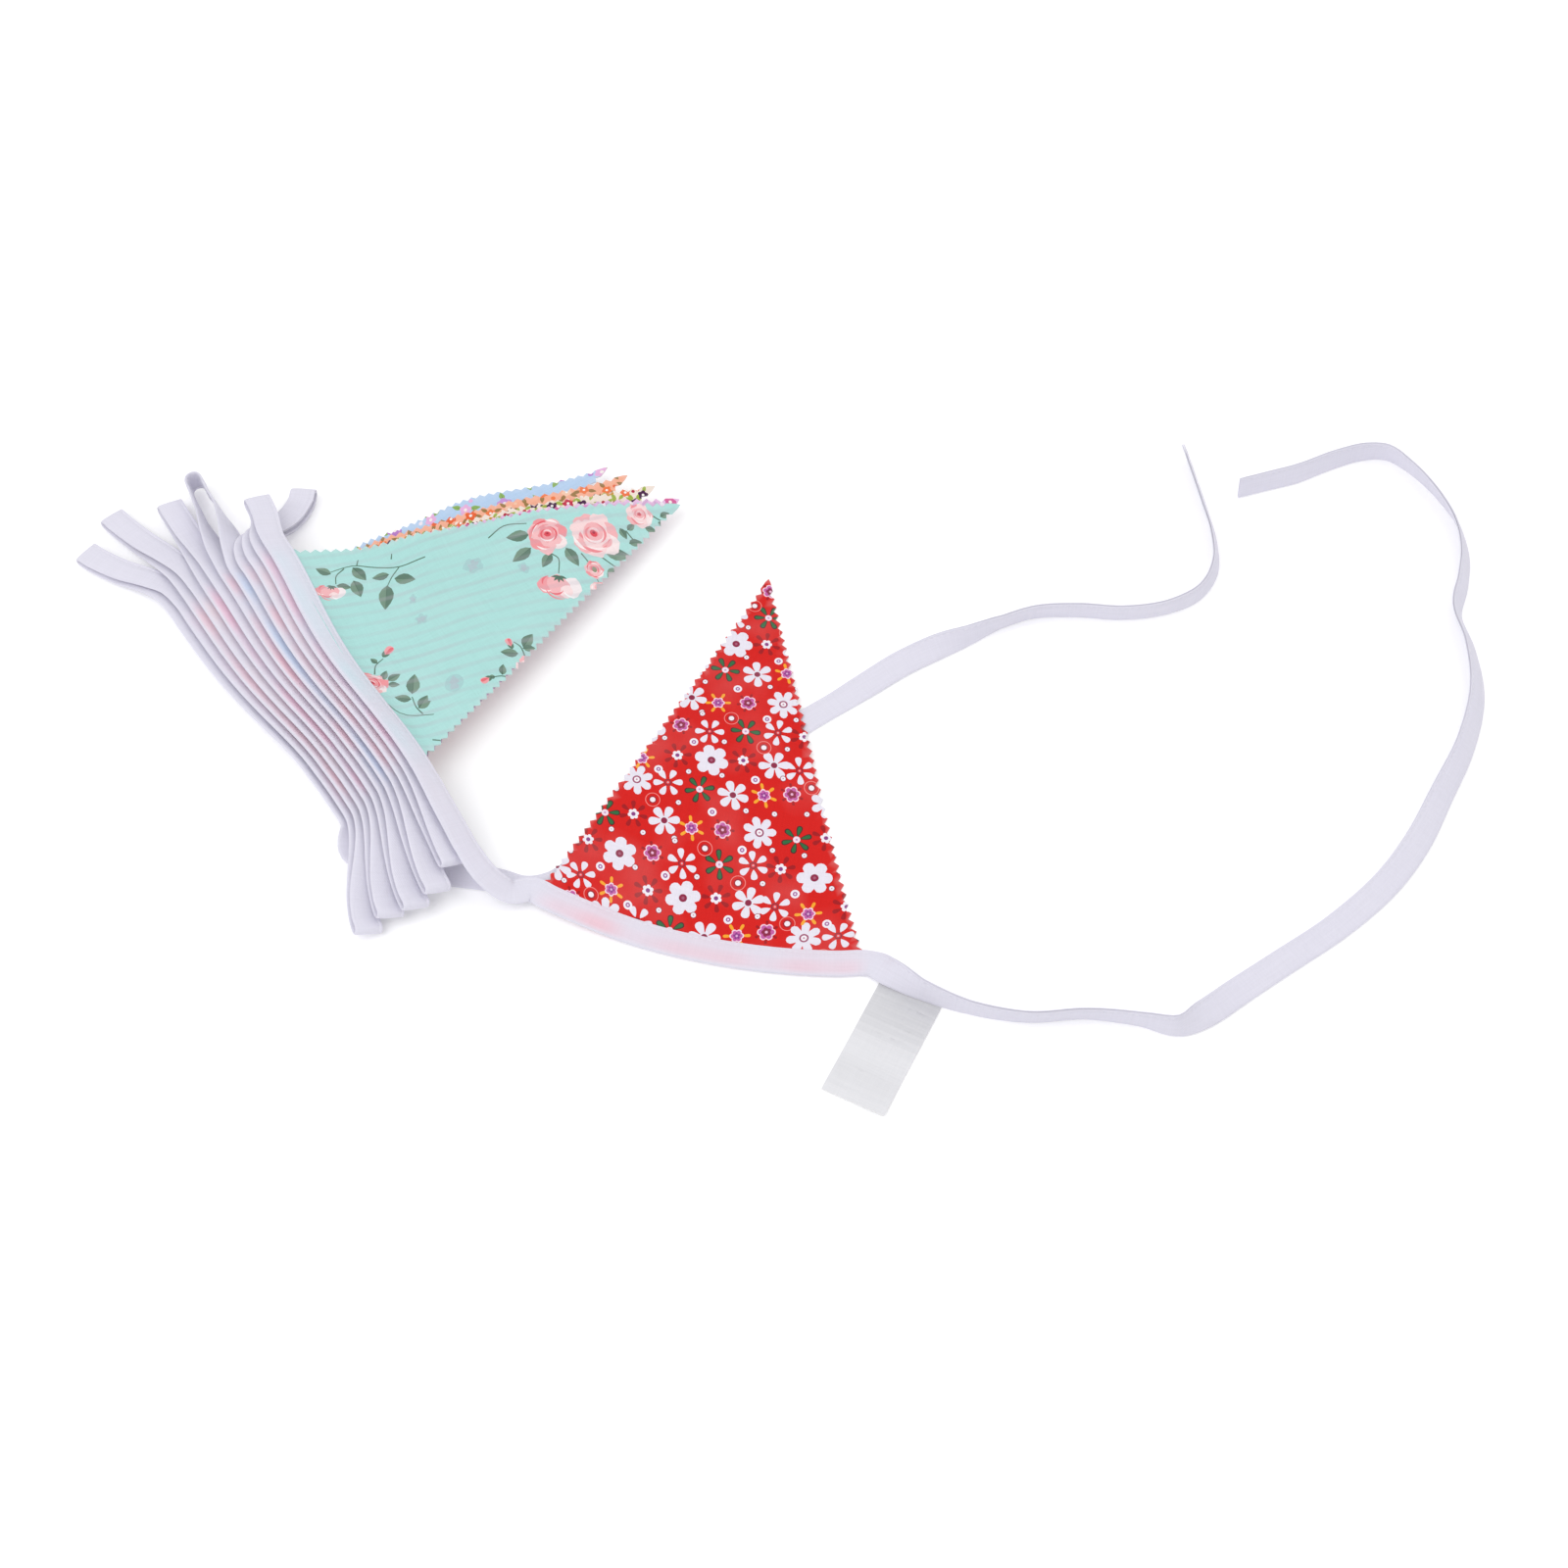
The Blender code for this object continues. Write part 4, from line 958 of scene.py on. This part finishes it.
def sheet_object(name, cut, outline, place, thick, back):
    """A thin closed cloth over the middle surface place(u, v), printed on its upper side.

    back is how far the print fades on the reverse.
    """
    flat, tris, colours = cut
    middle = np.array([tuple(place(u, v)) for u, v in flat])
    corners = middle[tris]
    across = np.cross(corners[:, 1] - corners[:, 0], corners[:, 2] - corners[:, 0])
    flip = across[:, 2] < 0.0
    tris = np.where(flip[:, None], tris[:, ::-1], tris)
    across = np.where(flip[:, None], -across, across)
    normals = np.zeros_like(middle)
    for i in range(3):
        np.add.at(normals, tris[:, i], across)
    normals /= np.maximum(1e-12, np.linalg.norm(normals, axis=1))[:, None]
    count = len(flat)
    verts = np.vstack([middle + 0.5 * thick * normals, middle - 0.5 * thick * normals])
    sides = np.vstack([tris[:, [0, 1]], tris[:, [1, 2]], tris[:, [2, 0]]])
    owner = np.tile(np.arange(len(tris)), 3)
    forward = sides[:, 0] * count + sides[:, 1]
    rim = ~np.isin(forward, sides[:, 1] * count + sides[:, 0])
    walls = [(int(b), int(a), int(a) + count, int(b) + count) for a, b in sides[rim]]
    upper = [tuple(int(i) for i in t) for t in tris]
    lower = [tuple(int(i) + count for i in t[::-1]) for t in tris]
    mesh = bpy.data.meshes.new(name)
    mesh.from_pydata([tuple((Vector(p) + TO_FRAME) * MM) for p in verts], [], upper + lower + walls)
    thread = linear("#EDE9E6")
    shades = np.vstack([np.repeat(colours, 3, axis=0), np.repeat(mix(colours, thread, back), 3, axis=0),
                        np.repeat(mix(colours, thread, 0.35)[owner[rim]], 4, axis=0)])
    shades = np.hstack([shades, np.ones((len(shades), 1))])
    wear = near_cut(flat, outline)
    dress_cloth(mesh, "CORNER", shades, np.concatenate([wear, wear]), np.vstack([flat, flat]))
    return finish_object(name, mesh, 50.0)


def finish_object(name, mesh, sharp):
    mesh.validate()
    mesh.shade_smooth()
    mesh.set_sharp_from_angle(angle=math.radians(sharp))
    made = add_object(name, mesh)
    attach(made, "root")
    return made


# Painted colour that the held pennants give the tape: their prints showing through it and reflected onto it
TAPE_WHITE = "#E0DEEB"
THROUGH_AND_REFLECTED_TINTS = {1: "#E6DCEA", 2: "#EFD0DC", 3: "#EBDCE4", 4: "#EFCCDE", 5: "#E4DBE8", 6: "#EFC6D3", 7: "#D1DDF3",
         8: "#F0CEDA", 9: "#EEDAE4", 10: "#EFCEE0", 11: "#D6E3EE", 12: "#EBC5D2"}


def fold_room(opened):
    """Half the gap between the tape's two plies, wider where they hold a pennant."""
    return mix(0.10, 0.5 * CLOTH + 0.12, opened)


def tape_profile(slot, outer):
    """Half-rounded fold at the left, open stitched edge at the right: across, out of plane, is inner."""
    half = HALF_TAPE
    top = [(half, slot + 0.8 * (outer - slot)), (half - 0.35, outer), (half - 0.95, outer),
           (half - STITCH_INSET, outer - 0.16), (half - 1.55, outer), (half - 4.0, outer + 0.06),
           (0.0, outer + 0.10), (-2.0, outer + 0.08), (-half + 2.2, outer + 0.02), (-half + 0.9, 0.86 * outer),
           (-half + 0.25, 0.5 * outer)]
    bottom = [(a, -b) for a, b in reversed(top)]
    lining = [(half, -slot), (half - 3.0, -slot), (-half + 1.6, -slot), (-half + 0.8, 0.0),
              (-half + 1.6, slot), (half - 3.0, slot), (half, slot)]
    return top + [(-half, 0.0)] + bottom + lining


def folded_tape(samples):
    """The whole tape as one closed folded strip, with painted tints where a print shows through and reflects onto
    it.
    """
    verts, tints, uvs = [], [], []
    white = linear(TAPE_WHITE)
    plain = np.array([item["length"] for item in samples if not item["number"]])
    for item in samples:
        side = item["run"].cross(item["normal"])
        slot = fold_room(item["open"])
        outer = slot + TAPE_PLY
        along = item["length"]
        pucker = 0.07 * noise.noise(Vector((along / 9.0, 0.0, 2.0)))
        pucker = 0.05 * math.sin(along * 2.0 * math.pi / 5.8) + pucker
        number = item["number"]
        through_colour = linear(THROUGH_AND_REFLECTED_TINTS[number]) if number else white
        patch = 0.6 + 1.1 * noise.noise(Vector((along / 22.0, number * 3.1, 0.0)))
        patch = min(1.0, max(0.0, patch)) * smooth(np.abs(plain - along).min() / TINT_FEATHER)
        girth = 0.0
        before = None
        for a, b in tape_profile(slot, outer):
            swell = pucker if abs(b) > slot + 0.1 else 0.0
            place = item["place"] + side * a + item["normal"] * (b + math.copysign(swell, b) if b else 0.0)
            verts.append(tuple((place + TO_FRAME) * MM))
            # Painted show-through and reflected colour of the held pennant, strongest on the fold half
            painted_tint_share = smooth((a + 5.9) / 1.6) * mix(1.0, 0.4, smooth((a + 1.0) / 2.5)) * patch if number else 0.0
            tints.append(tuple(mix(white, through_colour, painted_tint_share)) + (1.0,))
            if before:
                girth += math.hypot(a - before[0], b - before[1])
            before = (a, b)
            uvs.append((girth, along))
    ring = len(verts) // len(samples)
    faces = []
    for index in range(len(samples) - 1):
        base = index * ring
        for i in range(ring):
            j = (i + 1) % ring
            faces.append((base + i, base + j, base + ring + j, base + ring + i))
    last = (len(samples) - 1) * ring
    faces += [tuple(range(ring))[::-1], tuple(last + i for i in range(ring))]
    mesh = bpy.data.meshes.new("cotton_tape")
    mesh.from_pydata(verts, [], faces)
    dress_cloth(mesh, "POINT", tints, np.zeros(len(verts)), uvs)
    return finish_object("cotton_tape", mesh, 60.0)


def stitch_line(samples):
    """Lockstitches near the open edge of the tape, on both of its faces."""
    verts, faces = [], []
    lengths = [item["length"] for item in samples]
    total = lengths[-1]
    index = 0
    across = HALF_TAPE - STITCH_INSET

    def at(distance, face):
        nonlocal index
        while lengths[index + 1] < distance:
            index += 1
        a, b = samples[index], samples[index + 1]
        x = (distance - lengths[index]) / max(1e-6, lengths[index + 1] - lengths[index])
        normal = a["normal"].lerp(b["normal"], x).normalized()
        side = a["run"].lerp(b["run"], x).normalized().cross(normal)
        out = fold_room(mix(a["open"], b["open"], x)) + TAPE_PLY - STITCH_BED
        return a["place"].lerp(b["place"], x) + side * across + normal * (out * face), normal * face, side

    distance = 3.0
    while distance < total - 4.0:
        start = index
        for face in (1.0, -1.0):
            index = start
            rings = []
            for x, size, sink in ((0.0, 0.45, -0.16), (0.25, 1.0, 0.0), (0.75, 1.0, 0.0), (1.0, 0.45, -0.16)):
                place, normal, side = at(distance + x * STITCH_LENGTH, face)
                first = len(verts)
                for i in range(5):
                    angle = 2.0 * math.pi * i / 5.0
                    offset = (side * math.cos(angle) + normal * math.sin(angle)) * (STITCH_RADIUS * size)
                    verts.append(tuple((place + normal * sink + offset + TO_FRAME) * MM))
                rings.append(first)
            for a, b in zip(rings, rings[1:]):
                for i in range(5):
                    j = (i + 1) % 5
                    faces.append((a + i, a + j, b + j, b + i))
            faces.append(tuple(rings[0] + i for i in range(5))[::-1])
            faces.append(tuple(rings[-1] + i for i in range(5)))
        distance += STITCH_PITCH
    mesh = bpy.data.meshes.new("tape_stitches")
    mesh.from_pydata(verts, [], faces)
    return finish_object("tape_stitches", mesh, 60.0)


# Materials

def set_inputs(tree, node, inputs):
    """Gives each input a value or a link."""
    for socket, value in inputs.items():
        if isinstance(value, bpy.types.NodeSocket):
            tree.links.new(value, node.inputs[socket])
        else:
            node.inputs[socket].default_value = value


def add_node(tree, kind, inputs=(), **settings):
    made = tree.nodes.new(kind)
    for name, value in settings.items():
        setattr(made, name, value)
    set_inputs(tree, made, dict(inputs))
    return made


def new_material(name):
    material = bpy.data.materials.new(name)
    material.use_nodes = True
    return material, material.node_tree, material.node_tree.nodes["Principled BSDF"]


# Stripes that show through the thin mint cloth, and how pale the cut edges are
GHOST_PITCH = 6.5
GHOST_TURN = math.radians(-14.0)
GHOST_FAINT = 0.10
GHOST_STRONG = 0.30
FRAYING = 0.12


def woven_cotton(name, thread_mm, slub, roughness, sheen, bump, ghost=None):
    """Plain-woven cotton dyed by the piece's own print.

    The threads are drawn as two crossed waves, thread_mm apart, with slubs along both of them. ghost is
    the colour of the cloths below, which a thin light cloth lets through in long stripes.
    """
    material, tree, shader = new_material(name)
    node = functools.partial(add_node, tree)
    dye = node("ShaderNodeAttribute", attribute_name="print").outputs["Color"]
    wear = node("ShaderNodeAttribute", attribute_name="edge_wear").outputs["Fac"]
    uv = node("ShaderNodeUVMap", uv_map="cloth_mm").outputs["UV"]
    parts = node("ShaderNodeSeparateXYZ", {"Vector": uv}).outputs
    waves = []
    for axis in ("X", "Y"):
        phase = node("ShaderNodeMath", {0: parts[axis], 1: 2.0 * math.pi / thread_mm}, operation="MULTIPLY")
        waves.append(node("ShaderNodeMath", {0: phase.outputs[0]}, operation="SINE").outputs[0])
    weave = node("ShaderNodeMath", {0: waves[0], 1: waves[1]}, operation="MULTIPLY").outputs[0]
    slubs = []
    for scale in ((1.1, 0.045, 1.0), (0.045, 1.1, 1.0)):
        stretched = node("ShaderNodeMapping", {"Vector": uv, "Scale": scale}).outputs["Vector"]
        slubs.append(node("ShaderNodeTexNoise", {
            "Vector": stretched, "Scale": 1.0, "Detail": 3.0, "Roughness": 0.6}).outputs["Fac"])
    both = node("ShaderNodeMath", {0: slubs[0], 1: slubs[1]}, operation="ADD").outputs[0]
    tone = node("ShaderNodeMapRange", {
        "Value": both, "From Min": 0.6, "From Max": 1.4,
        "To Min": 1.0 - slub, "To Max": 1.0 + slub}).outputs["Result"]
    shade = node("ShaderNodeVectorMath", {0: dye, "Scale": tone}, operation="SCALE").outputs["Vector"]
    if ghost:
        # Stripes GHOST_PITCH apart, broken and bent a little. The wave node turns 20 radians for each unit.
        drawn = node("ShaderNodeMapping", {
            "Vector": uv, "Rotation": (0.0, 0.0, GHOST_TURN),
            "Scale": (1.0 / GHOST_PITCH, 1.0 / GHOST_PITCH, 1.0)}).outputs["Vector"]
        rows = node("ShaderNodeTexWave", {
            "Vector": drawn, "Scale": 2.0 * math.pi / 20.0, "Distortion": 1.3, "Detail": 1.0,
            "Detail Scale": 0.35}, wave_type="BANDS", bands_direction="X").outputs["Fac"]
        broken = node("ShaderNodeMapping", {"Vector": uv, "Scale": (0.05, 0.02, 1.0)}).outputs["Vector"]
        patch = node("ShaderNodeTexNoise", {"Vector": broken, "Scale": 1.0, "Detail": 2.0}).outputs["Fac"]
        line = node("ShaderNodeMapRange", {
            "Value": rows, "From Min": 0.55, "From Max": 0.95}).outputs["Result"]
        weight = node("ShaderNodeMapRange", {
            "Value": patch, "From Min": 0.35, "From Max": 0.65,
            "To Min": GHOST_FAINT, "To Max": GHOST_STRONG}).outputs["Result"]
        share = node("ShaderNodeMath", {0: line, 1: weight}, operation="MULTIPLY").outputs[0]
        shade = node("ShaderNodeMix", {"Factor": share, "A": shade, "B": (*linear(ghost), 1.0)},
                     data_type="RGBA").outputs["Result"]
    broad = node("ShaderNodeMapping", {"Vector": uv, "Scale": (0.03, 0.03, 1.0)}).outputs["Vector"]
    wash = node("ShaderNodeTexNoise", {"Vector": broad, "Scale": 1.0, "Detail": 2.0}).outputs["Fac"]
    faded = node("ShaderNodeMapRange", {
        "Value": wash, "From Min": 0.45, "From Max": 0.75, "To Max": 0.07}).outputs["Result"]
    frayed = node("ShaderNodeMath", {0: wear, 1: FRAYING}, operation="MULTIPLY").outputs[0]
    pale = node("ShaderNodeMath", {0: faded, 1: frayed}, operation="MAXIMUM").outputs[0]
    colour = node("ShaderNodeMix", {"Factor": pale, "A": shade, "B": (*linear("#F1EEF0"), 1.0)},
                   data_type="RGBA").outputs["Result"]
    height = node("ShaderNodeMath", {0: weave, 1: both}, operation="ADD").outputs[0]
    relief = node("ShaderNodeBump", {"Height": height, "Strength": bump, "Distance": 0.00012})
    set_inputs(tree, shader, {
        "Base Color": colour, "Normal": relief.outputs["Normal"], "Roughness": roughness, "Metallic": 0.0,
        "IOR": 1.46, "Specular IOR Level": 0.25, "Sheen Weight": sheen, "Sheen Roughness": 0.5})
    return material


def sewing_thread(name, code):
    """Matt polyester-cotton thread, with painted shade: greyer flecks stand for a faint twist along each stitch
    catching the light.
    """
    material, tree, shader = new_material(name)
    node = functools.partial(add_node, tree)
    where = node("ShaderNodeTexCoord").outputs["Object"]
    twist = node("ShaderNodeTexNoise", {"Vector": where, "Scale": 1800.0, "Detail": 1.0}).outputs["Fac"]
    tone = node("ShaderNodeMapRange", {"Value": twist, "To Min": 0.0, "To Max": 0.25}).outputs["Result"]
    # Painted shade of the twist: greyer flecks along each stitch
    colour = node("ShaderNodeMix", {"Factor": tone, "A": (*linear(code), 1.0), "B": (*linear("#C9C6D4"), 1.0)},
                  data_type="RGBA").outputs["Result"]
    set_inputs(tree, shader, {"Base Color": colour, "Roughness": 0.6, "Sheen Weight": 0.1})
    return material


def paint(made, material):
    made.data.materials.append(material)


# Making

GROUNDS = {"mint": "#AEDEDA", "red": GROUND_RED}


def make_pennants():
    outline = pinked_outline()
    # Fine printed lawn: thin, matt and even, so the print stays crisp
    printed = {cloth: woven_cotton("printed_cotton_lawn_" + cloth, 0.7, 0.05, 0.88, 0.12, 0.5)
               for cloth in ("blue", "peach", "cream", "lilac", "red")}
    # A lighter, thinner cloth: the bundle below shows through it in pale stripes
    printed["mint"] = woven_cotton("printed_cotton_lawn_mint", 0.7, 0.05, 0.88, 0.12, 0.5, "#B4AFBB")
    cuts = {"red": flat_mesh(outline, red_print(), 5.0, GROUNDS["red"]),
            "mint": flat_mesh(outline, mint_print(), 4.5, GROUNDS["mint"])}
    for seed, cloth in enumerate(("blue", "peach", "cream", "lilac")):
        cuts[cloth] = flat_mesh(outline, posy_print(cloth, 20 + seed), 6.0, POSIES[cloth][0])
    for number, cloth, *_ in BUNDLE:
        creases = MINT_CREASES if number == TOP else ()

        def place(u, v, n=number, folds=creases):
            spot = bundled_cloth(n, u, v)
            free = smooth(v / 14.0)
            spot.z += (crumple(u, v, n) + crease_height(folds, u, v)) * free
            return spot

        name = f"cotton_pennant_{number:02d}_{cloth}"
        made = sheet_object(name, cuts[cloth], outline, place, CLOTH, 0.4)
        paint(made, printed[cloth])
        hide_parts(f"pennant_{number:02d}_{cloth}")

    def laid(u, v):
        spot = laid_cloth(u, v)
        spot.z += (0.5 * crumple(u, v, 12) + crease_height(RED_CREASES, u, v)) * smooth((v - 2.0) / 14.0) - 0.1
        return spot

    made = sheet_object("cotton_pennant_12_red", cuts["red"], outline, laid, CLOTH, 0.4)
    paint(made, printed["red"])
    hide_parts("pennant_12_red")


def make_label():
    half = 0.5 * LABEL_WIDTH
    outline = [(-half, 0.0), (half, 0.0), (half, LABEL_LENGTH), (-half, LABEL_LENGTH)]
    # Painted shade from the seam down: greyer bands, darkest at the seam, where it bends away under the tape
    bands = []
    for step in range(LABEL_SHADE_BANDS):
        v = step * LABEL_LENGTH / LABEL_SHADE_BANDS
        grey = mix(0.60, 0.76, smooth((step + 1.0) / 12.0)) + 0.02 * math.sin(0.9 * step)
        grey = int(round(255.0 * grey ** (1.0 / 2.2)))
        band = [(-half - 1.0, v), (0.0, v + 0.01), (half + 1.0, v), (half + 1.0, v + 5.0), (-half - 1.0, v + 5.0)]
        bands.append((band, f"#{grey:02X}{grey:02X}{min(255, grey + 4):02X}"))
    cut = flat_mesh(outline, bands, 2.0, "#E3E2E8")
    made = sheet_object("ribbon_label", cut, outline, label_cloth, LABEL_THICK, 0.0)
    # Smooth narrow satin-backed ribbon: finer threads and a little more sheen than the tape
    paint(made, woven_cotton("label_ribbon", 0.5, 0.03, 0.6, 0.2, 0.35))
    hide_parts("label")


def make_tape():
    samples = stations(route_keys())
    tape = folded_tape(samples)
    # Plain bias tape: a slightly coarser matt weave, cool white
    paint(tape, woven_cotton("bias_tape_cotton", 0.8, 0.035, 0.9, 0.2, 0.45))
    stitches = stitch_line(samples)
    paint(stitches, sewing_thread("white_sewing_thread", "#ECEAF2"))
    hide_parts("tape")


TABLE_GLOW = 0.14
SKY = 0.71
# name, place, size, power
LAMPS = (("key", (-0.7, -0.5, 1.5), 1.4, 10.5), ("fill", (0.8, 0.5, 1.3), 1.6, 5.0))


def studio():
    """A pale floor and broad soft light from above, with a little more from the left."""
    mesh = bpy.data.meshes.new("floor")
    reach = 3.0
    mesh.from_pydata([(-reach, -reach, 0.0), (reach, -reach, 0.0), (reach, reach, 0.0), (-reach, reach, 0.0)],
                     [], [(0, 1, 2, 3)])
    add_object("floor", mesh)
    # Lit from below like a photographer's light table, so it stays white where the bunting shades it
    material, tree, shader = new_material("matt_white_table")
    set_inputs(tree, shader, {
        "Base Color": (*linear("#F8F8F9"), 1.0), "Roughness": 0.9,
        "Emission Color": (1.0, 1.0, 1.0, 1.0), "Emission Strength": TABLE_GLOW})
    mesh.materials.append(material)
    for name, place, size, power in LAMPS:
        data = bpy.data.lights.new(name, "AREA")
        data.size = size
        data.energy = power
        aim(add_object(name, data), place, -Vector(place))
    world = bpy.data.worlds.new("soft_room")
    bpy.context.scene.world = world
    world.use_nodes = True
    set_inputs(world.node_tree, world.node_tree.nodes["Background"],
               {"Color": (*linear("#FFFFFF"), 1.0), "Strength": SKY})
    bpy.context.scene.view_settings.view_transform = "Standard"


place_camera()
make_tape()
make_pennants()
make_label()
studio()
